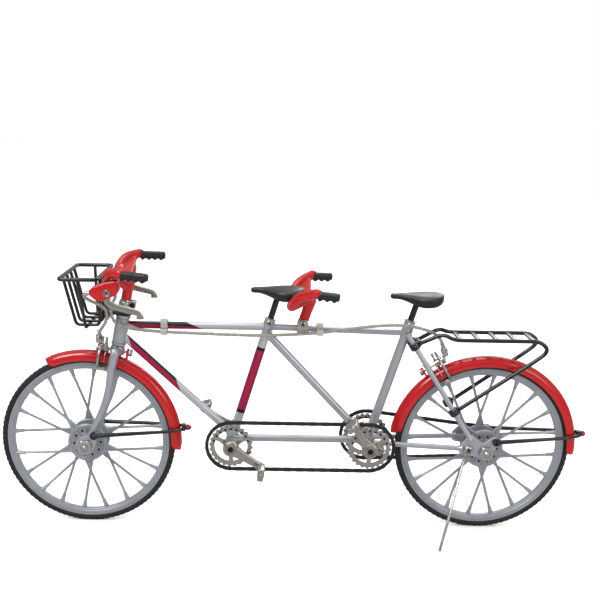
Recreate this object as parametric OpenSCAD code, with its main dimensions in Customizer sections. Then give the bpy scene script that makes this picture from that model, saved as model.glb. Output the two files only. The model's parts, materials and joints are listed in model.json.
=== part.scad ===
// Tandem bicycle: a desk model in die-cast metal and moulded plastic that rolls, steers and brakes.
// +X points to the rear, -Y to the rider's left and +Z up. Both tyres and the stand touch z = 0.
// Middle of the overall length and width is the origin.

/* [Wheels] */
// Outer diameter of both tyres
wheel_d = 68; // [56:1:84]
// Width of a tyre
tyre_w = 3.0; // [2.4:0.1:3.6]
// Depth of a tyre, from its tread to the rim
tyre_h = 2.2; // [1.8:0.1:2.6]
// Depth of the rim, from the tyre inwards
rim_h = 2.7; // [2.2:0.1:3.4]
// Thickness of a moulded spoke
spoke_d = 1.1; // [0.8:0.1:1.4]
// Number of crossed pairs of spokes
spoke_pairs = 10; // [6:2:12]
// Diameter of the hub flanges
flange_d = 15.2; // [12:0.2:18]
// Diameter of the wheel axles
axle_d = 2.0; // [1.6:0.1:2.4]

/* [Frame] */
// Distance between the two crank spindles
rider_gap = 53; // [45:1:66]
// Room between the front tyre and the front spindle
toe_room = 22.3; // [20:0.1:27]
// Room between the rear spindle and the rear tyre
tail_room = 11; // [10.5:0.1:14]
// Height of the crank spindles above the wheel axles
spindle_rise = 1.8; // [0:0.1:4]
// Angle of the seat tubes from level
seat_angle = 73.3; // [70:0.1:76]
// Length of the seat tubes, from spindle to saddle collar
seat_tube_len = 50.3; // [42:0.1:60]
// Angle of the head tube from level
head_angle = 79; // [74:0.5:82]
// Length of the head tube
head_len = 12.1; // [10:0.1:14.5]
// Diameter of the head tube
head_d = 5.4; // [5:0.1:6.4]
// Diameter of the seat tubes
seat_tube_d = 3.5; // [3.3:0.1:4.2]
// Diameter of the down tube and the slanted middle tube
down_tube_d = 3.0; // [2.4:0.1:3.6]
// Diameter of the top tube ahead of the first saddle
top_tube_d = 2.8; // [2.2:0.1:3.2]
// Diameter of the top tube behind the first saddle
rear_top_tube_d = 2.4; // [2:0.1:3]
// Diameter of the seat stays and chain stays
stay_d = 2.0; // [1.6:0.1:2.4]
// Distance between the inner faces of each pair of dropouts
dropout_gap = 14.2; // [13.8:0.1:16]

/* [Fork and steering] */
// Distance by which the front axle lies ahead of the steering axis
fork_rake = 5; // [3:0.1:7]
// Diameter of the steerer
steerer_d = 3.2; // [2.6:0.1:3.4]

/* [Handlebars] */
// Width over the tips of the front bar
front_bar_w = 54; // [46:1:64]
// Width over the tips of the rear bar
rear_bar_w = 44.4; // [38:1:52]
// Diameter of the moulded grips
grip_d = 3.2; // [2.6:0.1:3.8]
// Height of the front grips above the head tube
front_bar_rise = 19; // [16:0.5:23]
// Height of the rear grips above the top tube
rear_bar_rise = 16.6; // [14:0.2:20]

/* [Saddles] */
// Diameter of the saddle posts
post_d = 2.4; // [2:0.1:2.6]
// Length of a saddle
saddle_len = 21; // [18:0.5:24]
// Width of a saddle
saddle_w = 15; // [12:0.5:17]
// Height of the saddles above their collars
saddle_rise = 11.2; // [8:0.2:12]
// Way that a saddle post slides up and down
post_travel = 4; // [2:0.5:5]

/* [Drive] */
// Diameter of the left chainrings, which join the two cranks
ring_d = 16.8; // [13:0.1:19]
// Diameter of the right chainring, which drives the wheel
drive_ring_d = 18.0; // [14:0.1:20]
// Diameter of the sprocket on the rear hub
sprocket_d = 10.4; // [9:0.1:12]
// Length of a crank, from spindle to pedal
crank_len = 13.8; // [12:0.1:15]
// Diameter of the crank spindles
spindle_d = 2.4; // [2:0.1:2.8]
// Diameter of the pedal pins
pedal_pin_d = 1.2; // [1:0.1:1.4]
// Angle of the front left crank at rest
front_crank_angle = -32.5; // [-180:0.5:180]
// Angle of the rear left crank at rest
rear_crank_angle = 123; // [-180:0.5:180]

/* [Basket and rack] */
// Width of the basket rim
basket_w = 33.6; // [28:0.2:38]
// Length of the basket rim, front to back
basket_len = 13.6; // [12:0.2:16]
// Depth of the basket
basket_h = 18; // [14:0.2:20]
// Thickness of the basket wire
basket_wire = 1.2; // [1:0.1:1.5]
// Width of the rack, between the middles of its rails
rack_w = 13.8; // [12:0.2:16]
// Thickness of the rack wire
rack_wire = 1.6; // [1.2:0.1:2]
// Number of cross bars on the rack
rack_bars = 5; // [3:1:7]

/* [Fenders] */
// Gap between a tyre and its fender
fender_gap = 1.9; // [1.4:0.1:2.4]
// Width of a fender
fender_w = 5.6; // [5.4:0.1:6.2]
// Wall of a fender
fender_wall = 0.6; // [0.4:0.05:0.8]

/* [Hidden] */
$fn = 64;

// Clearances
running_fit = 0.05;   // radial play of a shaft in its bore
seat_gap = 0.2;       // air between parts that pass or rest close together

// Wheels
wheel_r = wheel_d / 2;
rim_r = wheel_r - tyre_h;
rim_in_r = rim_r - rim_h;
tread_w = tyre_w - 0.8;
flange_y = 3.2;
flange_t = 1.1;
hub_half = dropout_gap / 2 - 0.8;
axle_bore = axle_d + 2 * running_fit;

// Main points of the frame
front_centre = wheel_r + toe_room;
rear_centre = wheel_r + tail_room;
wheelbase = front_centre + rider_gap + rear_centre;
fender_r = wheel_r + fender_gap + fender_wall;
reflector_d = 2.4;
reflector_x = fender_r + 2.8;
rear_reach = reflector_x + reflector_d / 2;
front_x = -(wheelbase + rear_reach - wheel_r) / 2;
front_hub = [front_x, 0, wheel_r];
rear_hub = front_hub + [wheelbase, 0, 0];
front_spindle = front_hub + [front_centre, 0, spindle_rise];
rear_spindle = front_spindle + [rider_gap, 0, 0];

// Steering axis, measured from the level of the front axle
head_dir = [cos(head_angle), 0, sin(head_angle)];
head_fwd = [-sin(head_angle), 0, cos(head_angle)];
steer_foot = front_hub + [fork_rake / sin(head_angle), 0, 0];
function on_steer(s) = steer_foot + s * head_dir;
crown_s = fender_r + 0.6;
head_s = crown_s + 2.3;
head_top_s = head_s + head_len;
head_bore = steerer_d + 2 * running_fit;
stem_s = head_top_s + 1.8;
stem_h = 4.2;

// Seat tubes, measured up from their spindles
seat_dir = [cos(seat_angle), 0, sin(seat_angle)];
function on_seat(spindle, s) = spindle + s * seat_dir;
collar_h = 4.8;
collar_d = seat_tube_d + 0.8;
front_top_s = seat_tube_len - 3.5;
rear_top_s = seat_tube_len - 5;
post_bore = post_d + 2 * running_fit;
post_insert = 9;
post_bore_len = post_insert + post_travel + 1;
shell_d = 5;
shell_half = 4.2;
spindle_bore = spindle_d + 2 * running_fit;

// Rear triangle
dropout_t = 1.0;
dropout_y = dropout_gap / 2 + dropout_t / 2;
stay_top = on_seat(rear_spindle, rear_top_s + 0.2);
stay_top_y = 2.4;
kick_pivot = rear_hub + [-7.1, 0, 1.5];
stay_foot = rear_hub + [-6.2, 0, 5.4];
stay_foot_y = dropout_y + 0.2;
stay_run = stay_foot - stay_top;
stay_dir = stay_run / norm(stay_run);
stay_out = [-stay_dir.z, 0, stay_dir.x];
stay_spread = stay_foot_y - stay_top_y;
function on_stay(t, side) = stay_top + t * stay_run + [0, side * (stay_top_y + t * stay_spread), 0];
eyelet = [3.6, 4.6];

// Axles, screws and stand
nut_flat = 5.2;
nut_t = 1.6;
axle_tip = 1.2;
axle_half = dropout_gap / 2 + dropout_t + nut_t + axle_tip;
seat_screw_d = 1.4;
screw_drop = 1.6;
stand_screw_d = 1.6;
kick_in = dropout_y + dropout_t / 2 + 0.1;
kick_t = 1.0;
kick_out = kick_in + kick_t + 0.15;
kick_foot = [kick_pivot.x - 11.4, -24.3, 0];

// Fenders
blade_y = fender_w / 2 + 2.2;
skirt_r = wheel_r - 1.4;
front_fender_from = -6;
front_fender_to = 116;
rear_fender_from = -5;
rear_fender_to = 172;
stay_wire = 1.3;
stud_rise = 5.7;      // height of the stay stud and the reflector above the axle
stud_d = 2.4;
fender_tab_t = 0.8;
fender_tab_w = 3;
front_tab_x = -9.4;
front_tab_drop = 3.2;
rear_tab_drop = 2.5;

// Brakes
brake_reach = 7.6;
brake_stand = 4.6;
brake_bolt_d = 1.2;
arm_t = 1.2;
brake_lug = 4.6;
arm_half = fender_w / 2 + 1.1;
pad_size = [4, 0.8, 1.6];
pad_y = tyre_w / 2 + 0.4;
bridge_t = 0.354;
rear_bridge = on_stay(bridge_t, 0);
rear_brake = rear_bridge + brake_stand * stay_out;
front_brake = on_steer(crown_s) + (brake_stand + 0.8) * head_fwd;

// Drive line
side_plane = 9.5;
drive_plane = 5.8;
ring_t = 0.9;
chain_w = 1.1;
chain_t = 1.6;
chain_gap = 0.15;
crank_in = 11.2;
crank_t = 2.4;
crank_out = crank_in + crank_t;
pedal_len = 7;
pedal_w = 5;
pedal_t = 2.4;
pedal_gap = 0.8;
pedal_bore = pedal_pin_d + 2 * running_fit;

// Handlebars
front_post_top = on_steer(stem_s + 11.5);
bar_r = 1.6;
post_r = 1.5;
grip_len = 10;
grip_dir = [0.964, 0.26, -0.06];
front_tip = [front_post_top.x + 10.4, front_bar_w / 2, on_steer(head_top_s).z + front_bar_rise];
front_joint = front_tip - grip_len * grip_dir;
front_elbow = front_post_top + [-6.0, front_bar_w / 2 - 14.5, 2.4];
clamp_foot = (on_seat(front_spindle, front_top_s) + on_seat(rear_spindle, rear_top_s)) / 2
    - [(rider_gap / 2 - 13.4), 0, -0.25];
rear_pivot = clamp_foot + [0, 0, 2.1];
rear_post_top = rear_pivot + [3.0, 0, 9.4];
rear_tip = [rear_post_top.x + 8.9, rear_bar_w / 2, clamp_foot.z + rear_bar_rise];
rear_grip_len = 7.8;
rear_joint = rear_tip - rear_grip_len * grip_dir;
rear_elbow = rear_post_top + [-7.6, rear_bar_w / 2 - 14.5, -1.4];
pivot_d = 1.4;

// Brake levers
lever_y = front_bar_w / 2 - 7;
lever_pivot = front_elbow + [1.3, lever_y - front_elbow.y, -3.2];
lever_t = 1.2;
hood_w = 4.4;
lever_pin_d = 1.4;

// Basket
basket_top = on_steer(head_top_s).z + 16;
basket_back = on_steer(head_top_s).x - 6.7;
basket_front = basket_back - basket_len;
basket_foot = basket_top - basket_h;
basket_ribs = 4;
rib_step = 6.6;
basket_lean = 3.6;
basket_side_lean = 5;
bracket_h = 1.2;

// Rack
rack_z = wheel_r + fender_r + 7.6;
rack_front = rear_hub.x - 15;
rack_end = rear_hub.x + 17.4;
rack_step = (rack_end - rack_front - 5) / (rack_bars - 1);
rack_head_t = 0.12;
rack_clamp_t = 0.74;
rack_off = stay_d / 2 + rack_wire / 2 + 0.2;

// Route of the front brake cable, from the left lever to the front brake
front_cable_path = [
    [-73.5, -20, 96.4], [-75.4, -19.9, 96.2], [-76.4, -18.6, 95.4], [-76, -17.2, 94], [-74.2, -16, 92.6],
    [-71.8, -14.2, 91], [-70.6, -11, 89], [-70.6, -7.6, 86.9], [-71, -5.4, 84.4], [-72, -3.8, 81.8],
    [-73.8, -1.6, 79.2], [-74.9, -0.3, 77.4], [-75, 0, 76.6]
];
// Route of the rear brake cable while it turns with the fork
rear_lead_path = [
    [-73.5, 20, 96.4], [-75.4, 19.9, 96.2], [-76.4, 18.6, 95.4], [-76, 17.2, 94], [-74.2, 16, 92.6],
    [-71.8, 14.2, 91.2], [-70.4, 11, 90.2], [-69.8, 7.5, 89.6], [-69.6, 3.5, 89.2], [-69.7, 0, 88.8],
    [-69.6, -3.4, 87.8], [-69.2, -5.4, 85.8], [-68.4, -5.6, 83.6], [-67.6, -5.2, 82.3]
];
// Route of the rear brake cable along the frame
rear_cable_path = [
    [-67.3, -5, 81.8], [-65, -4, 80.8], [-60, -2.8, 79.4], [-50, -2.4, 78.6], [-36, -2.6, 78.2],
    [-22, -3.2, 78], [-13, -3.4, 78], [-2, -3.1, 78.4], [9, -2.6, 79.2], [19, -2.4, 80.6],
    [29, -2.6, 82], [37, -3.4, 82.7], [43, -4, 82.5], [47.6, -3.4, 81.4], [51.6, -1.8, 79.8],
    [54.2, -0.5, 77.8], [55.7, 0, 75.6], [56.4, 0, 73.6]
];
cable_d = 1.3;
clip_w = 2.6;

// Colours
silver = [0.78, 0.78, 0.8];
grey = [0.6, 0.6, 0.63];
red = [0.78, 0.08, 0.08];
black = [0.1, 0.1, 0.11];
chrome = [0.88, 0.87, 0.84];
clear = [0.92, 0.92, 0.9];
cable_grey = [0.55, 0.53, 0.5];

// ---- Shared shapes ----

function unit(v) = v / norm(v);
function mirrored(p, side) = [p.x, side * p.y, p.z];

// Round rod between two points
module rod(a, b, d) {
    run = b - a;
    translate(a)
        rotate([0, acos(run.z / norm(run)), atan2(run.y, run.x)])
            cylinder(d = d, h = norm(run));
}

// Turns a child that is drawn along +Z so that it stands at p and points along dir
module aim(p, dir) {
    translate(p)
        rotate([0, acos(dir.z / norm(dir)), atan2(dir.y, dir.x)])
            children();
}

// Cylinder along Y between two distances from the middle plane
module pin(p, y0, y1, d) {
    translate([p.x, y1, p.z])
        rotate([90, 0, 0])
            cylinder(d = d, h = y1 - y0);
}

// Turns a child so that its own Z axis lies along an axle
module on_axle(p) {
    translate(p)
        rotate([90, 0, 0])
            children();
}

// Flat shape in the XZ plane between two distances from the middle plane
module plate(p, y0, y1) {
    translate([p.x, y1, p.z])
        rotate([90, 0, 0])
            linear_extrude(y1 - y0)
                children();
}

// Both sides of a part that is drawn on the right
module both_sides() {
    children();
    mirror([0, 1, 0])
        children();
}

// Points of a path with each corner rounded by a curve
function rounded(p, r, steps = 3) = [
    p[0],
    for (i = [1 : len(p) - 2], k = [0 : steps])
        let (
            t = k / steps,
            a = p[i] + min(r, norm(p[i - 1] - p[i]) / 2) * unit(p[i - 1] - p[i]),
            b = p[i] + min(r, norm(p[i + 1] - p[i]) / 2) * unit(p[i + 1] - p[i])
        )
        (1 - t) * (1 - t) * a + 2 * t * (1 - t) * p[i] + t * t * b,
    p[len(p) - 1]
];

function tangent(p, i) = unit(p[min(i + 1, len(p) - 1)] - p[max(i - 1, 0)]);
function any_side(t) = abs(t.z) < 0.9 ? unit(cross(t, [0, 0, 1])) : unit(cross(t, [1, 0, 0]));
// Side direction at every point, carried along the path without twist
function path_sides(p) = [
    for (
        i = 0, n = any_side(tangent(p, 0));
        i < len(p);
        i = i + 1,
        t = i < len(p) ? tangent(p, i) : [1, 0, 0],
        n = unit(n - (n * t) * t)
    )
    n
];

// Round wire swept along a path of points
module wire(p, d, sides = 8) {
    n = path_sides(p);
    last = len(p) - 1;
    polyhedron(
        points = [
            for (i = [0 : last], k = [0 : sides - 1])
                p[i] + d / 2 * (cos(360 * k / sides) * n[i] + sin(360 * k / sides) * cross(tangent(p, i), n[i]))
        ],
        faces = [
            [for (k = [0 : sides - 1]) k],
            for (i = [0 : last - 1], k = [0 : sides - 1])
                let (j = i + 1, m = (k + 1) % sides)
                [i * sides + k, j * sides + k, j * sides + m, i * sides + m],
            [for (k = [sides - 1 : -1 : 0]) last * sides + k]
        ],
        convexity = 10
    );
}

// Round wire bent into a closed level loop
module wire_loop(p, d, sides = 8) {
    count = len(p);
    polyhedron(
        points = [
            for (i = [0 : count - 1], k = [0 : sides - 1])
                let (t = unit(p[(i + 1) % count] - p[(i + count - 1) % count]))
                p[i] + d / 2 * (cos(360 * k / sides) * cross(t, [0, 0, 1]) - [0, 0, sin(360 * k / sides)])
        ],
        faces = [
            for (i = [0 : count - 1], k = [0 : sides - 1])
                let (j = (i + 1) % count, m = (k + 1) % sides)
                [i * sides + k, j * sides + k, j * sides + m, i * sides + m]
        ],
        convexity = 10
    );
}

// ---- Frame ----

module seat_tube_body(spindle) {
    rod(spindle, on_seat(spindle, seat_tube_len), seat_tube_d);
    rod(on_seat(spindle, seat_tube_len - collar_h), on_seat(spindle, seat_tube_len), collar_d);
}

module seat_tube(spindle) {
    difference() {
        seat_tube_body(spindle);
        rod(on_seat(spindle, seat_tube_len - post_bore_len), on_seat(spindle, seat_tube_len + 1), post_bore);
        pin(spindle, -shell_half, shell_half, shell_d);
        seat_screw_hole(spindle);
    }
}

// Side hole for the set screw that grips a saddle post
module seat_screw_hole(spindle) {
    pin(on_seat(spindle, seat_tube_len - screw_drop), -collar_d, 0, seat_screw_d);
}

module front_seat_tube() {
    color(silver) seat_tube(front_spindle);
}

module rear_seat_tube() {
    color(silver) seat_tube(rear_spindle);
}

module head_tube() {
    color(silver)
        difference() {
            rod(on_steer(head_s), on_steer(head_top_s), head_d);
            rod(on_steer(head_s - 1), on_steer(head_top_s + 1), head_bore);
        }
}

module front_top_rod() {
    rod(on_steer(head_s + 8.1), on_seat(front_spindle, front_top_s), top_tube_d);
}

module rear_top_rod() {
    rod(on_seat(front_spindle, front_top_s), on_seat(rear_spindle, rear_top_s), rear_top_tube_d);
}

module top_tube() {
    color(silver)
        difference() {
            union() {
                front_top_rod();
                rear_top_rod();
            }
            rod(on_steer(head_s), on_steer(head_top_s), head_d);
            rod(on_seat(front_spindle, seat_tube_len - 12), on_seat(front_spindle, seat_tube_len), collar_d);
            rod(on_seat(rear_spindle, seat_tube_len - 12), on_seat(rear_spindle, seat_tube_len), collar_d);
        }
}

module down_tube() {
    color(silver)
        difference() {
            rod(on_steer(head_s + 4.7), front_spindle + [0.6, 0, 1.2], down_tube_d);
            rod(on_steer(head_s), on_steer(head_top_s), head_d);
            pin(front_spindle, -shell_half, shell_half, shell_d);
            rod(front_spindle, on_seat(front_spindle, seat_tube_len), seat_tube_d);
        }
}

module diagonal_tube() {
    color(silver)
        difference() {
            rod(on_seat(front_spindle, front_top_s - 2.2), rear_spindle, down_tube_d);
            rod(on_seat(front_spindle, 0), on_seat(front_spindle, seat_tube_len), collar_d);
            rod(rear_spindle, on_seat(rear_spindle, seat_tube_len), seat_tube_d);
            pin(rear_spindle, -shell_half, shell_half, shell_d);
            rear_top_rod();
        }
}

module boom_tube() {
    color(silver)
        difference() {
            rod(front_spindle, rear_spindle, top_tube_d);
            pin(front_spindle, -shell_half, shell_half, shell_d);
            pin(rear_spindle, -shell_half, shell_half, shell_d);
            rod(rear_spindle, on_seat(front_spindle, front_top_s - 2.2), down_tube_d);
            rod(front_spindle, on_seat(front_spindle, seat_tube_len), seat_tube_d);
        }
}

module spindle_shells() {
    color(silver)
        for (p = [front_spindle, rear_spindle])
            difference() {
                pin(p, -shell_half, shell_half, shell_d);
                pin(p, -shell_half - 1, shell_half + 1, spindle_bore);
            }
}

// Outline of the eyelet behind an axle that takes the foot of a fender stay
module eyelet_tab() {
    translate(eyelet) circle(r = 1.5);
    polygon([[-1, 2.6], [2.6, 5.8], [4.8, 3.6], [3, 0]]);
}

// Flat end plate that joins a chain stay and a seat stay to the rear axle
module dropout(hub) {
    plate(hub, dropout_y - dropout_t / 2, dropout_y + dropout_t / 2)
        difference() {
            union() {
                circle(r = 3.1);
                eyelet_tab();
                translate([kick_pivot.x - hub.x, kick_pivot.z - hub.z]) circle(r = 2.3);
                translate([stay_foot.x - hub.x, stay_foot.z - hub.z]) circle(r = 1.5);
                polygon([
                    [-10.6, 0.6], [-10.6, 2.4], [-8.2, 4.6], [-7.6, 5.2],
                    [-5, 6.2], [0.4, 3], [0, -3.1], [-7, -0.8]
                ]);
            }
            circle(d = axle_bore);
        }
}

module chain_stay() {
    difference() {
        rod(rear_spindle + [0.8, 3.2, 0], [rear_hub.x - 9.8, dropout_y - 0.3, kick_pivot.z], stay_d);
        pin(rear_spindle, -shell_half - 2, shell_half + 2, shell_d);
    }
    dropout(rear_hub);
}

module chain_stays() {
    color(silver)
        difference() {
            both_sides() chain_stay();
            pin(kick_pivot, -dropout_y - 3, -dropout_y + 3, stand_screw_d);
        }
}

module seat_stays() {
    color(silver)
        difference() {
            union() {
                both_sides() rod(on_stay(0, 1), on_stay(1, 1), stay_d);
                // Bridge that carries the rear brake
                pin(rear_bridge, -on_stay(bridge_t, 1).y, on_stay(bridge_t, 1).y, stay_d);
                // Lug that joins both stays to the seat tube
                pin(stay_top + [0.9, 0, -0.8], -stay_top_y - 0.4, stay_top_y + 0.4, stay_d + 0.2);
            }
            rod(on_seat(rear_spindle, 20), on_seat(rear_spindle, seat_tube_len), collar_d);
            both_sides() dropout(rear_hub);
            aim(rear_bridge - 4 * stay_out, stay_out) cylinder(d = brake_bolt_d, h = 8);
        }
}

// Cross-head screw lying along Y, with its head on the left
module side_screw(p, y_head, y_end, d, head_d, head_t) {
    difference() {
        union() {
            pin(p, y_head, y_end, d);
            pin(p, y_head - head_t, y_head, head_d);
        }
        translate([p.x, y_head - head_t, p.z])
            rotate([0, 45, 0]) {
                cube([head_d * 0.6, head_t, head_d * 0.16], center = true);
                cube([head_d * 0.16, head_t, head_d * 0.6], center = true);
            }
    }
}

module frame_screws() {
    color(chrome) {
        for (s = [front_spindle, rear_spindle])
            side_screw(
                on_seat(s, seat_tube_len - screw_drop), -collar_d / 2, -post_bore / 2 - 0.1,
                seat_screw_d, seat_screw_d + 0.8, 0.6
            );
        side_screw(kick_pivot, -kick_out, -dropout_y, stand_screw_d, 3.4, 1.0);
    }
}

module rear_axle() {
    color(chrome) axle(rear_hub);
}

module front_axle() {
    color(chrome) axle(front_hub);
}

module axle(hub) {
    pin(hub, -axle_half, axle_half, axle_d);
    both_sides()
        plate(hub, axle_half - axle_tip - nut_t, axle_half - axle_tip) circle(d = nut_flat, $fn = 6);
}

// ---- Wheels ----

module tyre(hub) {
    on_axle(hub)
        rotate_extrude()
            polygon([
                [rim_r, -tyre_w / 2 + 0.3], [rim_r + 0.7, -tyre_w / 2], [wheel_r - 0.5, -tyre_w / 2 + 0.1],
                [wheel_r, -tread_w / 2], [wheel_r, tread_w / 2],
                [wheel_r - 0.5, tyre_w / 2 - 0.1], [rim_r + 0.7, tyre_w / 2], [rim_r, tyre_w / 2 - 0.3]
            ]);
}

// One pair of spokes that cross near the hub, with the web between them
module spoke_pair(side) {
    half_pitch = 90 / spoke_pairs;
    rim_at = (rim_in_r + 0.6) * [cos(half_pitch), sin(half_pitch), 0];
    cross_r = rim_in_r * 0.41;
    root_r = flange_d / 2 - 0.5;
    slope = rim_at.y / (rim_at.x - cross_r);
    root = [root_r, -slope * (cross_r - root_r), side * (flange_y + flange_t / 2 - 0.2)];
    rod(root, rim_at, spoke_d);
    rod([root.x, -root.y, root.z], [rim_at.x, -rim_at.y, 0], spoke_d);
    translate([0, 0, root.z * 0.86 - spoke_d * 0.3])
        linear_extrude(spoke_d * 0.6)
            polygon([[root_r, root.y], [cross_r, 0], [root_r, -root.y]]);
}

module moulded_wheel(hub, side_disc) {
    difference() {
        on_axle(hub) {
            rotate_extrude()
                polygon([
                    [rim_in_r, -tyre_w / 2 + 0.5], [rim_in_r + 0.5, -tyre_w / 2], [rim_r - 0.4, -tyre_w / 2],
                    [rim_r, -tyre_w / 2 + 0.4], [rim_r, tyre_w / 2 - 0.4], [rim_r - 0.4, tyre_w / 2],
                    [rim_in_r + 0.5, tyre_w / 2], [rim_in_r, tyre_w / 2 - 0.5]
                ]);
            cylinder(r = 2.6, h = 2 * hub_half - 2 * side_disc, center = true);
            for (side = [-1, 1])
                translate([0, 0, side * flange_y])
                    cylinder(d = flange_d, h = flange_t, center = true);
            for (k = [0 : spoke_pairs - 1])
                rotate([0, 0, 93 + 360 * k / spoke_pairs])
                    spoke_pair(k % 2 == 0 ? 1 : -1);
        }
        pin(hub, -hub_half - 1, hub_half + 1, axle_bore);
    }
}

module front_wheel() {
    color(grey) moulded_wheel(front_hub, 0);
}

module front_tyre() {
    color(black) tyre(front_hub);
}

module rear_wheel() {
    color(grey) moulded_wheel(rear_hub, 1.0);
}

module rear_tyre() {
    color(black) tyre(rear_hub);
}

// ---- Fork and steering ----

module fork_blade() {
    top = on_steer(crown_s) + [-0.4, blade_y, 0.2];
    knee = on_steer(crown_s - 7) + [-0.4, blade_y + 0.4, 0];
    low = [steer_foot.x + 1.9, dropout_y - 0.8, wheel_r + 14.6];
    foot = front_hub + [1.2, dropout_y, 3.2];
    rod(top, knee, 3.4);
    aim(knee + [0, 0, 0.3], low - knee) cylinder(d1 = 3.4, d2 = 2.5, h = norm(low - knee) + 0.3);
    aim(low + [0, 0, 0.3], foot - low) cylinder(d1 = 2.5, d2 = 1.9, h = norm(foot - low));
    plate(front_hub, dropout_y - dropout_t / 2, dropout_y + dropout_t / 2) {
        circle(r = 3.8);
        eyelet_tab();
    }
}

module fork() {
    color(silver)
        difference() {
            union() {
                rod(on_steer(crown_s - 1), on_steer(stem_s + stem_h - 0.4), steerer_d);
                rod(on_steer(crown_s - 1.4), on_steer(head_s - 0.3), head_d);
                pin(on_steer(crown_s), -blade_y, blade_y, 3.4);
                both_sides() fork_blade();
            }
            pin(front_hub, -axle_half, axle_half, axle_bore);
            aim(front_brake - 14 * head_fwd, head_fwd) cylinder(d = brake_bolt_d, h = 14);
        }
}

module stem_clamp() {
    color(chrome)
        difference() {
            union() {
                rod(on_steer(stem_s), on_steer(stem_s + stem_h), 4.6);
                translate(on_steer(stem_s + stem_h / 2) + [2.6, 0, 0])
                    rotate([0, 90 - head_angle, 0])
                        cube([2.4, 3.4, stem_h - 0.8], center = true);
            }
            rod(on_steer(stem_s - 1), on_steer(stem_s + stem_h - 0.4), steerer_d);
        }
}

// Bar arm: a web from the post to the elbow and the grip, on the right
module bar_arm(post_top, elbow, joint) {
    mid = (elbow + joint) / 2 + [-1.4, 0.4, 1.2];
    hull() {
        translate(post_top) sphere(d = 2 * post_r, $fn = 20);
        translate(elbow) sphere(r = bar_r, $fn = 20);
    }
    hull() {
        translate(elbow) sphere(r = bar_r, $fn = 20);
        translate(mid) sphere(r = bar_r, $fn = 20);
    }
    hull() {
        translate(mid) sphere(r = bar_r, $fn = 20);
        aim(joint, grip_dir) cylinder(r = bar_r, h = 0.1, $fn = 20);
    }
}

module front_handlebar() {
    color(red) {
        rod(on_steer(stem_s + stem_h + 0.02), front_post_top, 2 * post_r);
        both_sides() bar_arm(front_post_top, front_elbow, front_joint);
    }
}

module grip(joint, len) {
    aim(joint + 0.15 * grip_dir, grip_dir) cylinder(d = grip_d, h = len - 0.15);
}

module front_grips() {
    color(black) both_sides() grip(front_joint, grip_len);
}

module rear_grips() {
    color(black) both_sides() grip(rear_joint, rear_grip_len);
}

module rear_handlebar() {
    color(red) {
        difference() {
            rod(rear_pivot, rear_post_top, 2 * post_r);
            pin(rear_pivot, -3, 3, pivot_d + 2 * running_fit);
        }
        both_sides() bar_arm(rear_post_top, rear_elbow, rear_joint);
    }
}

// Clevis on the top tube that holds the post of the rear bar on a cross screw
module rear_bar_clamp() {
    color(chrome) {
        difference() {
            union() {
                for (side = [-1, 1])
                    pin(rear_pivot, side * 2.1 - 0.5, side * 2.1 + 0.5, 4);
                translate(clamp_foot + [0, 0, 0.6])
                    cube([4.4, 5.2, 1.6], center = true);
            }
            rear_top_rod();
            pin(rear_pivot, -1.6, 1.6, 4.4);
            pin(rear_pivot, -1.6, 1.6, 5);
        }
        side_screw(rear_pivot, -2.6, 2.6, pivot_d, 2.4, 0.7);
    }
}

// Hood outline in the XZ plane, measured from the lever's pivot
module hood_outline() {
    polygon([
        [-5.8, -1], [-5.6, 1.6], [-0.6, 3.8], [3.8, 4.6], [4.2, 0.6], [3, -0.8], [-2.6, -3.2]
    ]);
}

module brake_hoods() {
    color(red)
        both_sides()
            difference() {
                plate(lever_pivot, lever_y - hood_w / 2, lever_y + hood_w / 2) hood_outline();
                plate(lever_pivot, lever_y - lever_t / 2 - seat_gap, lever_y + lever_t / 2 + seat_gap)
                    translate([-3.8, -5]) square([10, 7.2]);
                bar_room();
            }
    color(chrome)
        both_sides()
            pin(lever_pivot, lever_y - hood_w / 2 - 0.4, lever_y + hood_w / 2 + 0.4, lever_pin_d);
}

// Space that the bar arm takes out of a hood
module bar_room() {
    mid = (front_elbow + front_joint) / 2 + [-1.4, 0.4, 1.2];
    rod(front_elbow, mid, 2 * bar_r);
    rod(mid, front_joint, 2 * bar_r);
    rod(front_post_top, front_elbow, 2 * bar_r);
    translate(mid) sphere(r = bar_r);
    translate(front_elbow) sphere(r = bar_r);
}

module lever(side) {
    p = mirrored(lever_pivot, side);
    difference() {
        plate(p, p.y - lever_t / 2, p.y + lever_t / 2)
            polygon([
                [-1.4, 1.2], [1.4, 1.2], [1.4, -2.6], [0.8, -3.9], [6, -5.4], [10.6, -6.7], [12.2, -8],
                [11.6, -10.2], [10.4, -10], [10.4, -8.6], [5.6, -7], [-0.6, -5.3], [-2.8, -4.2], [-2.4, -2]
            ]);
        pin(p, p.y - 2, p.y + 2, lever_pin_d + 2 * running_fit);
    }
}

module left_brake_lever() {
    color(chrome) lever(-1);
}

module right_brake_lever() {
    color(chrome) lever(1);
}

// ---- Basket ----

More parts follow.
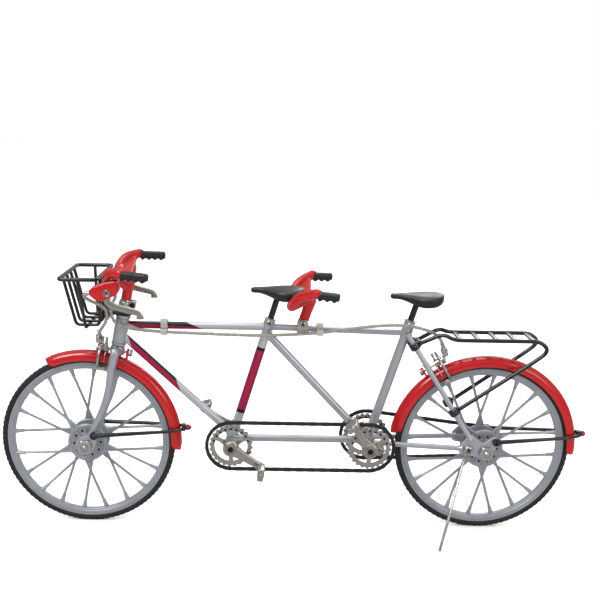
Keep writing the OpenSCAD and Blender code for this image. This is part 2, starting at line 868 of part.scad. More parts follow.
module basket() {
    half = basket_w / 2;
    foot_half = half - basket_side_lean;
    mid_x = (basket_front + basket_back) / 2;
    color(black) {
        // Rim
        let (
            run = rounded([
                [mid_x + 2, -half, basket_top], [basket_back, -half, basket_top],
                [basket_back, half, basket_top], [basket_front, half, basket_top],
                [basket_front, -half, basket_top], [mid_x + 2, -half, basket_top]
            ], 1.6)
        )
            wire_loop([for (i = [0 : len(run) - 2]) run[i]], basket_wire * 1.25);
        // Ribs from front to back
        for (k = [0 : basket_ribs - 1])
            let (y = (k - (basket_ribs - 1) / 2) * rib_step)
                wire(
                    rounded([
                        [basket_front, y, basket_top], [basket_front + basket_lean + 0.8, y, basket_foot],
                        [basket_back - 0.6, y, basket_foot], [basket_back, y, basket_top]
                    ], 2),
                    basket_wire
                );
        // Rib from side to side
        wire(
            rounded([
                [mid_x, -half, basket_top], [mid_x + 1.4, -foot_half, basket_foot - basket_wire * 0.6],
                [mid_x + 1.4, foot_half, basket_foot - basket_wire * 0.6], [mid_x, half, basket_top]
            ], 2),
            basket_wire
        );
    }
}

// Ring on the headset with an arm that holds the back of the basket
module basket_bracket() {
    base_s = head_top_s + 0.3;
    color(black)
        difference() {
            union() {
                rod(on_steer(base_s), on_steer(base_s + bracket_h), head_d + 1);
                translate([basket_back + 0.6, -rib_step / 2, on_steer(base_s).z + 0.2])
                    cube([on_steer(base_s).x - basket_back - 1, rib_step, 1]);
                translate([basket_back + 0.7, -rib_step / 2 - 0.8, on_steer(base_s).z - 1.4])
                    cube([0.8, rib_step + 1.6, 4]);
            }
            rod(on_steer(base_s - 1), on_steer(base_s + 3), steerer_d + 2 * running_fit);
            rod(on_steer(head_s), on_steer(head_top_s + 0.2), head_d + 1);
        }
}

// ---- Fenders ----

// Cross-section of a fender as [distance from the axle, distance from the middle plane]
function half_ring(r, n, flip) = [
    for (k = [0 : n])
        let (a = flip ? 90 - 180 * k / n : -90 + 180 * k / n)
        [fender_r - fender_w / 2 + r * cos(a), r * sin(a)]
];

module fender_arc(hub, from, to) {
    on_axle(hub)
        rotate([0, 0, from])
            rotate_extrude(angle = to - from)
                polygon(concat(
                    [[skirt_r, -fender_w / 2]],
                    half_ring(fender_w / 2, 10, false),
                    [[skirt_r, fender_w / 2], [skirt_r, fender_w / 2 - fender_wall]],
                    half_ring(fender_w / 2 - fender_wall, 10, true),
                    [[skirt_r, -fender_w / 2 + fender_wall]]
                ));
}

// Tab that joins a fender to its brake bolt, drawn in the frame of the brake
module fender_tab(x, drop) {
    difference() {
        translate([x - fender_tab_t / 2, -fender_tab_w / 2, -drop])
            cube([fender_tab_t, fender_tab_w, drop + fender_tab_w / 2]);
        translate([x - 2, 0, 0])
            rotate([0, 90, 0])
                cylinder(d = brake_bolt_d, h = 4);
    }
}

module front_fender() {
    color(red) {
        fender_arc(front_hub, front_fender_from, front_fender_to);
        front_brake_frame() fender_tab(front_tab_x, front_tab_drop);
    }
}

module rear_fender() {
    color(red) {
        fender_arc(rear_hub, rear_fender_from, rear_fender_to);
        rear_brake_frame() fender_tab(-brake_stand - 2, rear_tab_drop);
    }
}

// Wire stays from the eyelets to the stud behind the fender
module fender_stays(hub) {
    y0 = dropout_y + dropout_t / 2 + stay_wire / 2;
    stud = hub + [fender_r + 0.9, 0, stud_rise];
    color(black) {
        both_sides()
            wire(
                rounded([
                    hub + [eyelet.x + 0.2, y0, eyelet.y],
                    hub + [fender_r - 3.6, fender_w / 2 + 1.7, stud_rise - 0.3],
                    hub + [fender_r + 0.9, fender_w / 2 - 0.4, stud_rise - 0.1], stud + [0.3, 0.3, 0]
                ], 1.5),
                stay_wire
            );
        difference() {
            rod(stud - [1.5, 0, 0], stud + [1.2, 0, 0], stud_d);
            fender_arc(hub, -8, 40);
        }
    }
}

module front_fender_stays() {
    fender_stays(front_hub);
}

module rear_fender_stays() {
    fender_stays(rear_hub);
}

module reflector(hub) {
    color(red)
        difference() {
            translate(hub + [reflector_x, 0, stud_rise]) sphere(d = reflector_d);
            translate(hub + [reflector_x - 2.6, -2, 3]) cube([1.9, 4, 5]);
        }
}

module front_reflector() {
    reflector(front_hub);
}

module rear_reflector() {
    reflector(rear_hub);
}

// ---- Rack ----

module rack_side() {
    y = rack_w / 2;
    kink = [rack_front - 3.6, y - 2.2, rack_z + 1.9];
    clamp = on_stay(rack_clamp_t, 1) + rack_off * stay_out;
    head = on_stay(rack_head_t, 1) + rack_off * stay_out;
    wire(
        rounded([
            head, kink, [rack_front, y, rack_z], [rack_end, y, rack_z],
            [rack_end + 3.4, y, rack_z - 3.6], [rack_end - 1.4, y, rack_z - 7.6], clamp
        ], 2.4),
        rack_wire
    );
    // Band round the seat stay
    for (t = [rack_head_t, rack_clamp_t])
        difference() {
            aim(on_stay(t, 1), on_stay(1, 1) - on_stay(0, 1))
                cylinder(d = stay_d + 1.4, h = 2, center = true);
            rod(on_stay(0, 1), on_stay(1, 1), stay_d);
        }
}

module rear_rack() {
    color(black) {
        both_sides() rack_side();
        for (k = [0 : rack_bars - 1])
            translate([rack_front + 2.6 + k * rack_step, 0, rack_z])
                cube([1.6, rack_w, 0.9], center = true);
        pin(
            on_stay(rack_head_t, 0) + rack_off * stay_out,
            -on_stay(rack_head_t, 1).y, on_stay(rack_head_t, 1).y, rack_wire
        );
    }
}

// ---- Brakes ----

// Flat arm with its pad, drawn with the bolt along X and the arm hanging down; side is +1 or -1
module brake_arm(side, x0) {
    translate([x0 - arm_t / 2, 0, 0])
        mirror([0, side > 0 ? 0 : 1, 0])
            rotate([90, 0, 90])
                linear_extrude(arm_t)
                    difference() {
                        union() {
                            circle(r = 1.5);
                            translate([-0.6, 0])
                                square([1.2, brake_lug]);
                            polygon([
                                [-0.6, 1.4], [1.6, 1.2], [arm_half + 0.9, -1.2], [arm_half + 1.1, -2.4],
                                [arm_half + 0.9, -brake_reach + 1.6], [pad_y + 1.2, -brake_reach - 0.5],
                                [pad_y + 0.2, -brake_reach - 0.5], [pad_y + 0.2, -brake_reach + 0.5],
                                [arm_half - 0.2, -brake_reach + 1.8], [arm_half - 0.2, -2.6], [0.4, -1.4]
                            ]);
                        }
                        circle(d = brake_bolt_d + 2 * running_fit);
                    }
    translate([0, side * (pad_y + pad_size.y / 2), -brake_reach])
        cube(pad_size, center = true);
}

module front_brake_frame() {
    translate(front_brake)
        rotate([0, 90 - head_angle, 0])
            mirror([1, 0, 0])
                children();
}

module rear_brake_frame() {
    translate(rear_brake)
        rotate([0, atan2(-stay_dir.x, -stay_dir.z), 0])
            children();
}

module front_left_brake_arm() {
    color(chrome) front_brake_frame() brake_arm(-1, 0.7);
}

module front_right_brake_arm() {
    color(chrome) front_brake_frame() brake_arm(1, -0.7);
}

module rear_left_brake_arm() {
    color(chrome) rear_brake_frame() brake_arm(-1, 0.7);
}

module rear_right_brake_arm() {
    color(chrome) rear_brake_frame() brake_arm(1, -0.7);
}

// Bolt that carries both arms, with a nut at each end
module front_brake_bolt() {
    color(chrome) {
        aim(front_brake - 11 * head_fwd, head_fwd) cylinder(d = brake_bolt_d, h = 13);
        aim(front_brake - 11.2 * head_fwd, head_fwd) cylinder(d = 2.6, h = 1.2, $fn = 6);
        aim(front_brake + 1.6 * head_fwd, head_fwd) cylinder(d = 2.6, h = 1, $fn = 6);
    }
}

module rear_brake_bolt() {
    color(chrome) {
        aim(rear_brake - 8 * stay_out, stay_out) cylinder(d = brake_bolt_d, h = 10);
        aim(rear_brake - 8.2 * stay_out, stay_out) cylinder(d = 2.6, h = 1.2, $fn = 6);
        aim(rear_brake + 1.6 * stay_out, stay_out) cylinder(d = 2.6, h = 1, $fn = 6);
    }
}

module front_brake_cable() {
    color(cable_grey) wire(rounded(front_cable_path, 1.4, 1), cable_d);
}

module rear_cable_lead() {
    color(cable_grey) wire(rounded(rear_lead_path, 1.4, 1), cable_d);
}

module rear_brake_cable() {
    color(cable_grey) wire(rear_cable_path, cable_d);
}

// Clip round a level tube that holds the cable beside it
module clip(at, tube_z, tube_d, reach) {
    height = tube_d + 2.4;
    difference() {
        union() {
            translate([at.x - clip_w / 2, -tube_d / 2 - 1.1, tube_z - height / 2])
                cube([clip_w, tube_d + 2.2, height + reach]);
            translate([at.x - clip_w / 2, at.y - cable_d / 2 - 0.6, at.z - cable_d / 2 - 0.6])
                cube([clip_w, cable_d + 1.2, cable_d + 1.2]);
        }
        translate([at.x - clip_w, 0, tube_z]) rotate([0, 90, 0]) cylinder(d = tube_d + 0.6, h = 2 * clip_w);
        translate([at.x - clip_w, at.y, at.z]) rotate([0, 90, 0]) cylinder(d = cable_d + 0.4, h = 2 * clip_w);
    }
}

module cable_clips() {
    color(clear) {
        clip(rear_cable_path[3], 80.6, top_tube_d, 1.4);
        clip(rear_cable_path[8], 79.9, rear_top_tube_d, 0.8);
    }
}

// ---- Drive ----

module ring_plate(p, y, d, arms) {
    plate(p, y - ring_t / 2, y + ring_t / 2) {
        difference() {
            circle(d = d);
            circle(d = d - 3.6);
        }
        circle(r = 3);
        for (k = [0 : arms - 1])
            rotate(90 + 360 * k / arms)
                translate([0, -0.7])
                    square([d / 2 - 1, 1.4]);
    }
}

module front_chainring() {
    color(chrome) ring_bored(front_spindle, -side_plane, ring_d);
}

module ring_bored(p, y, d) {
    difference() {
        ring_plate(p, y, d, 5);
        pin(p, y - 1, y + 1, spindle_d);
    }
}

module rear_chainrings() {
    color(chrome) {
        ring_bored(rear_spindle, -side_plane, ring_d);
        ring_bored(rear_spindle, drive_plane, drive_ring_d);
    }
}

// Spindle with a crank at each end and a pin for each pedal
module crankset(p, left_angle) {
    pin(p, -crank_in, crank_in, spindle_d);
    for (side = [-1, 1]) {
        angle = side < 0 ? left_angle : left_angle + 180;
        far = p + crank_len * [cos(angle), 0, sin(angle)];
        plate(p, side < 0 ? -crank_out : crank_in, side < 0 ? -crank_in : crank_out) {
            circle(r = 2.4);
            translate([far.x - p.x, far.z - p.z]) circle(r = 1.5);
            rotate(angle)
                polygon([[0, -1.9], [crank_len, -1.2], [crank_len, 1.2], [0, 1.9]]);
        }
        pin(p, side < 0 ? -crank_out - 0.7 : crank_out, side < 0 ? -crank_out : crank_out + 0.7, 3);
        pin(
            far,
            side < 0 ? -crank_out - pedal_gap - pedal_len - 0.4 : crank_out,
            side < 0 ? -crank_out : crank_out + pedal_gap + pedal_len + 0.4,
            pedal_pin_d
        );
    }
}

module front_crankset() {
    color(chrome) crankset(front_spindle, front_crank_angle);
}

module rear_crankset() {
    color(chrome) crankset(rear_spindle, rear_crank_angle);
}

module pedal(p, angle, side, tilt) {
    far = p + crank_len * [cos(angle), 0, sin(angle)];
    near_y = crank_out + pedal_gap;
    y0 = side < 0 ? -near_y - pedal_len : near_y;
    color(chrome)
        difference() {
            plate(far, y0, y0 + pedal_len)
                rotate(tilt)
                    square([pedal_w, pedal_t], center = true);
            pin(far, y0 - 1, y0 + pedal_len + 1, pedal_bore);
        }
}

module front_left_pedal() {
    pedal(front_spindle, front_crank_angle, -1, 80);
}

module front_right_pedal() {
    pedal(front_spindle, front_crank_angle + 180, 1, 20);
}

module rear_left_pedal() {
    pedal(rear_spindle, rear_crank_angle, -1, 40);
}

module rear_right_pedal() {
    pedal(rear_spindle, rear_crank_angle + 180, 1, 60);
}

// Closed chain round two wheels of the given diameters
module chain(a, da, b, db, y) {
    plate([0, 0, 0], y - chain_w / 2, y + chain_w / 2)
        difference() {
            chain_outline(a, da / 2 + chain_gap + chain_t, b, db / 2 + chain_gap + chain_t);
            chain_outline(a, da / 2 + chain_gap, b, db / 2 + chain_gap);
        }
}

// Outline round two circles in the XZ plane
module chain_outline(a, ra, b, rb) {
    hull() {
        translate([a.x, a.z]) circle(r = ra);
        translate([b.x, b.z]) circle(r = rb);
    }
}

module side_chain() {
    color(black) chain(front_spindle, ring_d, rear_spindle, ring_d, -side_plane);
}

module drive_chain() {
    color(black) chain(rear_spindle, drive_ring_d, rear_hub, sprocket_d, drive_plane);
}

module rear_sprocket() {
    color(chrome)
        difference() {
            union() {
                pin(rear_hub, drive_plane - ring_t / 2, drive_plane + ring_t / 2, sprocket_d);
                pin(rear_hub, hub_half - 0.9, drive_plane, 5);
            }
            pin(rear_hub, 0, 9, axle_bore);
        }
}

// ---- Saddles and stand ----

module saddle(spindle, rise) {
    top = on_seat(spindle, seat_tube_len + rise);
    nose = top + [-saddle_len * 0.52, 0, 0.2];
    tail = top + [saddle_len * 0.44, 0, 0];
    half = saddle_w / 2;
    color(black) {
        hull() {
            translate(nose + [1.2, 0, 0]) sphere(r = 1.2, $fn = 20);
            for (side = [-1, 1])
                translate(tail + [-3.8, side * (half - 1.2), 0]) sphere(r = 1.2, $fn = 20);
            translate(tail + [-1.2, 0, 0.3]) sphere(r = 1.2, $fn = 20);
        }
        rod(on_seat(spindle, seat_tube_len - post_insert), top, post_d);
    }
}

module front_saddle() {
    saddle(front_spindle, saddle_rise);
}

module rear_saddle() {
    saddle(rear_spindle, saddle_rise - 1.6);
}

module kickstand() {
    wire_d = 1.0;
    y_mid = -(kick_in + kick_t / 2);
    start = [kick_pivot.x - 0.5, y_mid, kick_pivot.z - 1.8];
    color(chrome)
        difference() {
            union() {
                pin(kick_pivot, -kick_in - kick_t, -kick_in, 4);
                rod(start, kick_foot + 0.6 * unit(kick_foot - start), wire_d);
            }
            pin(kick_pivot, -kick_out - 1, 0, stand_screw_d + 2 * running_fit);
            translate([kick_foot.x - 5, kick_foot.y - 5, -4]) cube([10, 10, 4]);
        }
}

// ---- Assembly ----
head_tube();
top_tube();
down_tube();
front_seat_tube();
rear_seat_tube();
diagonal_tube();
boom_tube();
spindle_shells();
chain_stays();
seat_stays();
frame_screws();
rear_bar_clamp();
cable_clips();
rear_brake_cable();
rear_fender();
rear_fender_stays();
rear_reflector();
rear_rack();
rear_axle();
side_chain();
drive_chain();
rear_brake_bolt();
fork();
stem_clamp();
front_handlebar();
brake_hoods();
front_grips();
basket();
basket_bracket();
front_fender();
front_fender_stays();
front_reflector();
front_brake_cable();
rear_cable_lead();
front_axle();
front_brake_bolt();
front_wheel();
front_tyre();
rear_wheel();
rear_tyre();
rear_sprocket();
front_crankset();
front_chainring();
rear_crankset();
rear_chainrings();
front_left_pedal();
front_right_pedal();
rear_left_pedal();
rear_right_pedal();
left_brake_lever();
right_brake_lever();
front_left_brake_arm();
front_right_brake_arm();
rear_left_brake_arm();
rear_right_brake_arm();
front_saddle();
rear_saddle();
kickstand();
rear_handlebar();
rear_grips();
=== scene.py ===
"""Desk-size tandem bicycle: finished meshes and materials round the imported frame.

Every length in this file is in millimetres until a mesh is made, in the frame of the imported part:
+Z up, the front wheel at -X, the bicycle's left side at -Y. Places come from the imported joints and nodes.
"""
import json
import logging
import math
from dataclasses import dataclass, field, replace
from enum import Enum
from typing import Callable, Optional, Sequence

import bpy
import numpy as np
from mathutils import Matrix


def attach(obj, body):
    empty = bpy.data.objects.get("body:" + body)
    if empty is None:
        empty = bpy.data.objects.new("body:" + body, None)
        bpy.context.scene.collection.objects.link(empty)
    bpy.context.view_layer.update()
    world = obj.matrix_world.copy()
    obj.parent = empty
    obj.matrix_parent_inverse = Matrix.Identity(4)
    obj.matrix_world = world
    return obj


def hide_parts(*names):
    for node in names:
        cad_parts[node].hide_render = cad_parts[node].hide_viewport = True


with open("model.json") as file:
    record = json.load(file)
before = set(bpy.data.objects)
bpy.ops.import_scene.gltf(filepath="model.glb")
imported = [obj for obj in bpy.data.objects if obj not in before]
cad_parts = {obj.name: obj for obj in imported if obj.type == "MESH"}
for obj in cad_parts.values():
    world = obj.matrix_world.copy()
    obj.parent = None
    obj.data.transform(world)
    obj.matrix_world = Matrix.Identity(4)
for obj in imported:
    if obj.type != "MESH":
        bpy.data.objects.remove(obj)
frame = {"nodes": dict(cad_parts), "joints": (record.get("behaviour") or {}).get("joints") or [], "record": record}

LOG = logging.getLogger("tandem")
MM = 0.001
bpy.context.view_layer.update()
Array = np.ndarray
Points = Sequence[Sequence[float]]
Socket, Tree = bpy.types.NodeSocket, bpy.types.NodeTree


class Side(Enum):
    """The two sides of the bicycle, as the sign of Y."""

    LEFT = -1
    RIGHT = 1


# --- places from the frame


def vec(*values: float) -> Array:
    """A point or direction as an array."""
    return np.array(values, dtype=float)


def unit(v: Array) -> Array:
    """The direction of v at length one."""
    return v / np.linalg.norm(v)




def joint(name: str) -> tuple[Array, Array]:
    """Where a packed joint lies and the direction it turns about or slides along.

    Args:
        name: the joint's name in the record.

    Returns:
        Its point in millimetres and its unit axis.
    """
    found = next(j for j in frame["joints"] if j["name"] == name)
    return np.array(found.get("pos_m", (0, 0, 0)), float) / MM, unit(np.array(found["axis"], float))


def placed(name: str, part: int = 0) -> Array:
    """A field that starts as a joint's point, or as its direction where part is 1."""
    return field(default_factory=lambda: joint(name)[part])


@dataclass(frozen=True)
class Layout:
    """The points and directions that every sub-assembly is placed by."""

    front_hub: Array = placed("front_wheel_spin")
    rear_hub: Array = placed("rear_wheel_spin")
    front_spindle: Array = placed("front_crank_turn")
    rear_spindle: Array = placed("rear_crank_turn")
    steer_point: Array = placed("steer")
    steer_up: Array = placed("steer", 1)
    seat_up: Array = placed("front_saddle_height", 1)
    front_brake: Array = placed("brake_fr_close")
    front_brake_out: Array = placed("brake_fr_close", 1)
    rear_brake: Array = placed("brake_rl_close")
    rear_brake_out: Array = placed("brake_rl_close", 1)
    lever: Array = placed("right_lever_pull")
    stoker_pivot: Array = placed("stoker_bar_tilt")
    stand_pivot: Array = placed("stand_fold")

    def steer(self, rise: float) -> Array:
        """The point of the steering axis at a height above the ground."""
        return self.steer_point + self.steer_up * (rise - self.steer_point[2]) / self.steer_up[2]

    def seat(self, spindle: Array, along: float) -> Array:
        """The point of a seat tube's axis at a distance up from its spindle."""
        return spindle + self.seat_up * along


AT = Layout()
WHEEL_R = float(AT.front_hub[2])
X_AXIS, Y_AXIS, Z_AXIS = np.eye(3)
MIRROR = np.diag([1.0, -1.0, 1.0])


# --- surfaces


@dataclass
class Shape:
    """A closed surface as whole arrays.

    Attributes:
        points: places in millimetres, one row each.
        faces: arrays of corner numbers, one array for each count of corners.
        uvs: for each of those arrays, the texture place of every corner in millimetres.
    """

    points: Array
    faces: list[Array]
    uvs: list[Array]

    def turned(self, axes: Array, origin: Array) -> "Shape":
        """The shape with its local axes laid along the rows of axes and its zero at origin."""
        faces, uvs = self.faces, self.uvs
        if np.linalg.det(axes) < 0:
            faces, uvs = [f[:, ::-1] for f in faces], [u[:, ::-1] for u in uvs]
        return Shape(self.points @ axes + origin, faces, uvs)

    def mirrored(self) -> "Shape":
        """The same shape on the other side of the bicycle."""
        return self.turned(MIRROR, np.zeros(3))


def join(shapes: Sequence[Shape]) -> Shape:
    """All shapes as one, each still closed in itself."""
    offsets = np.cumsum([0] + [len(s.points) for s in shapes[:-1]])
    faces = [f + o for s, o in zip(shapes, offsets) for f in s.faces]
    uvs = [u for s in shapes for u in s.uvs]
    return Shape(np.vstack([s.points for s in shapes]), faces, uvs)


def both(shape: Shape) -> Shape:
    """A shape and its mirror image on the other side."""
    return join([shape, shape.mirrored()])


def lattice(points: Array, loop: bool = False) -> Shape:
    """A closed surface through a grid of points.

    Args:
        points: (rows, columns, 3); columns run round a section, rows run along the piece.
        loop: whether the last row joins the first; otherwise both are closed by a face.

    Returns:
        The surface; u of its texture is the length along the rows and v the length round the columns.
    """
    rows, cols = points.shape[:2]
    wrapped = np.concatenate([points, points[:1]]) if loop else points
    wide = np.concatenate([wrapped, wrapped[:, :1]], axis=1)
    along = np.linalg.norm(np.diff(wide, axis=0), axis=2).mean(axis=1)
    around = np.linalg.norm(np.diff(wide, axis=1), axis=2).mean(axis=0)
    u, v = np.meshgrid(np.r_[0, np.cumsum(along)], np.r_[0, np.cumsum(around)], indexing="ij")
    uv = np.stack([u, v], axis=2)
    i, j = np.meshgrid(np.arange(wide.shape[0] - 1), np.arange(wide.shape[1] - 1), indexing="ij")
    corners = [(i, j), (i + 1, j), (i + 1, j + 1), (i, j + 1)]
    quads = np.stack([(a % rows) * cols + b % cols for a, b in corners], axis=2).reshape(-1, 4)
    quad_uv = np.stack([uv[a, b] for a, b in corners], axis=2).reshape(-1, 4, 2)
    faces, uvs = [quads], [quad_uv]
    if not loop:
        faces.append(np.stack([np.arange(cols), (rows - 1) * cols + np.arange(cols)[::-1]]))
        uvs.append(np.stack([uv[0, :cols], uv[-1, :cols][::-1]]))
    return outward(Shape(points.reshape(-1, 3), faces, uvs))


def outward(shape: Shape) -> Shape:
    """The shape with its faces turned to point out, by the sign of its enclosed volume."""
    volume = 0.0
    for f in shape.faces:
        p = shape.points[f]
        fan = np.cross(p[:, 1:-1] - p[:, :1], p[:, 2:] - p[:, :1])
        volume += float((fan * (p[:, :1] - shape.points.mean(axis=0))).sum())
    if volume < 0:
        return Shape(shape.points, [f[:, ::-1] for f in shape.faces], [u[:, ::-1] for u in shape.uvs])
    return shape


def along_path(path: Array, loop: bool = False, side: Optional[Array] = None) -> tuple[Array, Array, Array]:
    """Directions carried along a path without twist.

    Args:
        path: (n, 3) points.
        loop: whether the path is closed.
        side: a fixed direction for the first section axis; without it, the axis is carried.

    Returns:
        The tangent, first and second section axis at each point.
    """
    if loop:
        tangent = np.roll(path, -1, axis=0) - np.roll(path, 1, axis=0)
    else:
        tangent = np.gradient(path, axis=0)
    tangent /= np.linalg.norm(tangent, axis=1, keepdims=True)
    if side is not None:
        first = side - tangent * (tangent @ side)[:, None]
        first /= np.linalg.norm(first, axis=1, keepdims=True)
    else:
        start = Z_AXIS if abs(tangent[0, 2]) < 0.9 else X_AXIS
        carried = []
        current = start
        for t in tangent:
            current = unit(current - t * (current @ t))
            carried.append(current)
        first = np.array(carried)
    return tangent, first, np.cross(tangent, first)


def sweep(
    path: Array, section: Array, scale: Optional[Array] = None, loop: bool = False, side: Optional[Array] = None,
) -> Shape:
    """A flat section carried along a path and scaled on the way.

    Args:
        path: (n, 3) points.
        section: (m, 2) closed outline, in the first and second section axis.
        scale: factor or pair of factors at each point.
        loop: whether the path is closed.
        side: a fixed direction for the first section axis.

    Returns:
        The closed surface.
    """
    _, first, second = along_path(path, loop, side)
    size = np.ones((len(path), 2)) if scale is None else np.asarray(scale, float).reshape(len(path), -1)
    size = np.broadcast_to(size, (len(path), 2))
    grid = path[:, None] + first[:, None] * (section[:, 0] * size[:, :1])[..., None]
    grid = grid + second[:, None] * (section[:, 1] * size[:, 1:])[..., None]
    return lattice(grid, loop)


def circle(sides: int) -> Array:
    """Points of a circle of radius one."""
    a = np.linspace(0, math.tau, sides, endpoint=False)
    return np.stack([np.cos(a), np.sin(a)], axis=1)


def rod(path: Array, radius: float | Array, sides: int = 20, round_ends: float = 0.0, loop: bool = False) -> Shape:
    """A round rod along a path: circle of the given radius at each point.

    Args:
        path: (n, 3) points.
        radius: one radius, or one for each point.
        sides: columns round the rod.
        round_ends: how much of the end is rounded off, 0 for a sharp edge.
        loop: whether the path is closed.

    Returns:
        The closed surface.
    """
    radii = np.broadcast_to(np.asarray(radius, float), (len(path),)).copy()
    if round_ends and not loop:
        turn = np.radians([0, 22, 45, 68])
        first, last = unit(path[1] - path[0]), unit(path[-1] - path[-2])
        head = path[0] + np.outer(round_ends * (1 - np.cos(turn)), first)
        head_r = radii[0] - round_ends * (1 - np.sin(turn))
        tail = path[-1] - np.outer(round_ends * (1 - np.cos(turn)), last)
        tail_r = radii[-1] - round_ends * (1 - np.sin(turn))
        path = np.vstack([head, path[0] + first * round_ends, path[1:-1], path[-1] - last * round_ends, tail[::-1]])
        radii = np.r_[head_r, radii[0], radii[1:-1], radii[-1], tail_r[::-1]]
    return sweep(path, circle(sides), radii, loop=loop)


def smooth(points: Points, per_step: int = 6, loop: bool = False) -> Array:
    """A curve through all points: on each step the Catmull-Rom cubic of the four points round it."""
    p = np.asarray(points, float)
    if loop:
        p = np.vstack([p[-1:], p, p[:2]])
    else:
        p = np.vstack([2 * p[0] - p[1], p, 2 * p[-1] - p[-2]])
    t = np.linspace(0, 1, per_step, endpoint=False)[:, None]
    a, b, c, d = p[:-3], p[1:-2], p[2:-1], p[3:]
    parts = 0.5 * (
        2 * b[:, None] + (c - a)[:, None] * t + (2 * a - 5 * b + 4 * c - d)[:, None] * t**2
        + (3 * b - a - 3 * c + d)[:, None] * t**3
    )
    curve = parts.reshape(-1, 3)
    return curve if loop else np.vstack([curve, p[-2]])


def bent(points: Points, radius: float, steps: int = 6, loop: bool = False) -> Array:
    """A path of straight runs whose corners are rounded by a parabola of the given reach."""
    p = np.asarray(points, float)
    before, after = np.roll(p, 1, axis=0) - p, np.roll(p, -1, axis=0) - p
    corner = []
    t = np.linspace(0, 1, steps + 1)[:, None]
    for k in range(len(p)):
        if not loop and k in (0, len(p) - 1):
            corner.append(p[k : k + 1])
            continue
        a = p[k] + unit(before[k]) * min(radius, np.linalg.norm(before[k]) * 0.49)
        b = p[k] + unit(after[k]) * min(radius, np.linalg.norm(after[k]) * 0.49)
        corner.append((1 - t) ** 2 * a + 2 * t * (1 - t) * p[k] + t**2 * b)
    return np.vstack(corner)


def line(a: Array, b: Array, steps: int = 2) -> Array:
    """Evenly spaced points from a to b."""
    return a + np.linspace(0, 1, steps)[:, None] * (b - a)


def axes_along(direction: Array, hint: Array = Z_AXIS) -> Array:
    """Rows of a frame whose third axis is direction and whose first axis is as near to hint as it can be."""
    third = unit(direction)
    first = unit(hint - third * (hint @ third))
    return np.stack([first, np.cross(third, first), third])


def turned(
    profile: Points, origin: Array, direction: Array, sides: int = 32,
    outline: Optional[Callable[[Array], Array]] = None,
) -> Shape:
    """A turned piece: each row of the profile is a circle, or the smaller of that circle and an outline.

    Args:
        profile: (radius, height) rows from one end to the other.
        origin: the place of height zero.
        direction: the axis of the piece.
        sides: columns round the axis.
        outline: radius as a function of the angle, which cuts the circle down.

    Returns:
        The closed surface.
    """
    rows = np.asarray(profile, float)
    angle = np.linspace(0, math.tau, sides, endpoint=False)
    radius = np.repeat(rows[:, :1], sides, axis=1)
    if outline is not None:
        radius = np.minimum(radius, outline(angle)[None])
    height = np.repeat(rows[:, 1:], sides, axis=1)
    grid = np.stack([radius * np.cos(angle), radius * np.sin(angle), height], axis=2)
    return lattice(grid).turned(axes_along(direction), origin)


def ringed(
    section: Points, origin: Array, direction: Array, sides: int = 64,
    swell: Optional[Callable[[Array, Array], Array]] = None,
) -> Shape:
    """A ring: a closed section of (radius, height) carried once round an axis.

    Args:
        section: closed outline that doesn't touch the axis.
        origin: the place of height zero.
        direction: the axis.
        sides: rows round the axis.
        swell: change of radius as a function of the angle and of the section's own radius.

    Returns:
        The closed surface.
    """
    s = np.asarray(section, float)
    angle = np.linspace(0, math.tau, sides, endpoint=False)[:, None]
    radius = np.broadcast_to(s[:, 0], (sides, len(s)))
    if swell is not None:
        radius = radius + swell(angle, radius)
    height = np.broadcast_to(s[:, 1], (sides, len(s)))
    grid = np.stack([radius * np.cos(angle), radius * np.sin(angle), height], axis=2)
    return lattice(grid, loop=True).turned(axes_along(direction), origin)


def hexagon(across: float) -> Callable[[Array], Array]:
    """Radius of a hexagon of the given width across flats, as a function of the angle."""
    return lambda a: across / 2 / np.cos((a + math.pi / 6) % (math.pi / 3) - math.pi / 6)


def soft_outline(points: Points, radius: float, steps: int = 4) -> Array:
    """A closed flat outline with rounded corners."""
    flat = np.asarray(points, float)
    path = bent(np.column_stack([flat, np.zeros(len(flat))]), radius, steps, loop=True)
    return path[:, :2]


def swing(angle: float) -> Array:
    """The direction at an angle from +X towards +Z."""
    return vec(math.cos(angle), 0, math.sin(angle))


def inset(outline: Array, distance: float) -> Array:
    """A flat outline moved inwards, each point along the mean normal of its two sides."""
    area = np.cross(outline, np.roll(outline, -1, axis=0)).sum()
    ahead, behind = np.roll(outline, -1, axis=0) - outline, outline - np.roll(outline, 1, axis=0)
    ahead /= np.linalg.norm(ahead, axis=1, keepdims=True) + 1e-9
    behind /= np.linalg.norm(behind, axis=1, keepdims=True) + 1e-9
    mean = ahead + behind
    normal = np.stack([-mean[:, 1], mean[:, 0]], axis=1)
    normal /= np.linalg.norm(normal, axis=1, keepdims=True) + 1e-9
    return outline + normal * distance * np.sign(area)


def slab(outline: Array, thick: float, axes: Array, origin: Array, edge: float = 0.12) -> Shape:
    """A flat outline given a thickness, with its edges eased by a quarter round.

    Args:
        outline: closed flat outline in the first two axes.
        thick: whole thickness, centred on origin.
        axes: rows of the local frame.
        origin: the place of the outline's zero.
        edge: how far the edges are eased.

    Returns:
        The closed surface.
    """
    turn = np.radians([0, 30, 60, 90])
    depth = np.r_[-thick / 2 + edge * (1 - np.cos(turn)), thick / 2 - edge * (1 - np.cos(turn[::-1]))]
    back = np.r_[edge * (1 - np.sin(turn)), edge * (1 - np.sin(turn[::-1]))]
    rows = [np.column_stack([inset(outline, b), np.full(len(outline), d)]) for b, d in zip(back, depth)]
    return lattice(np.stack(rows)).turned(axes, origin)


def cut_plate(
    corners: Points, ease: float, thick: float, axes: Array, origin: Array, edge: float = 0.12,
) -> Shape:
    """A slab whose outline has its corners rounded by ease."""
    return slab(soft_outline(corners, ease), thick, axes, origin, edge)


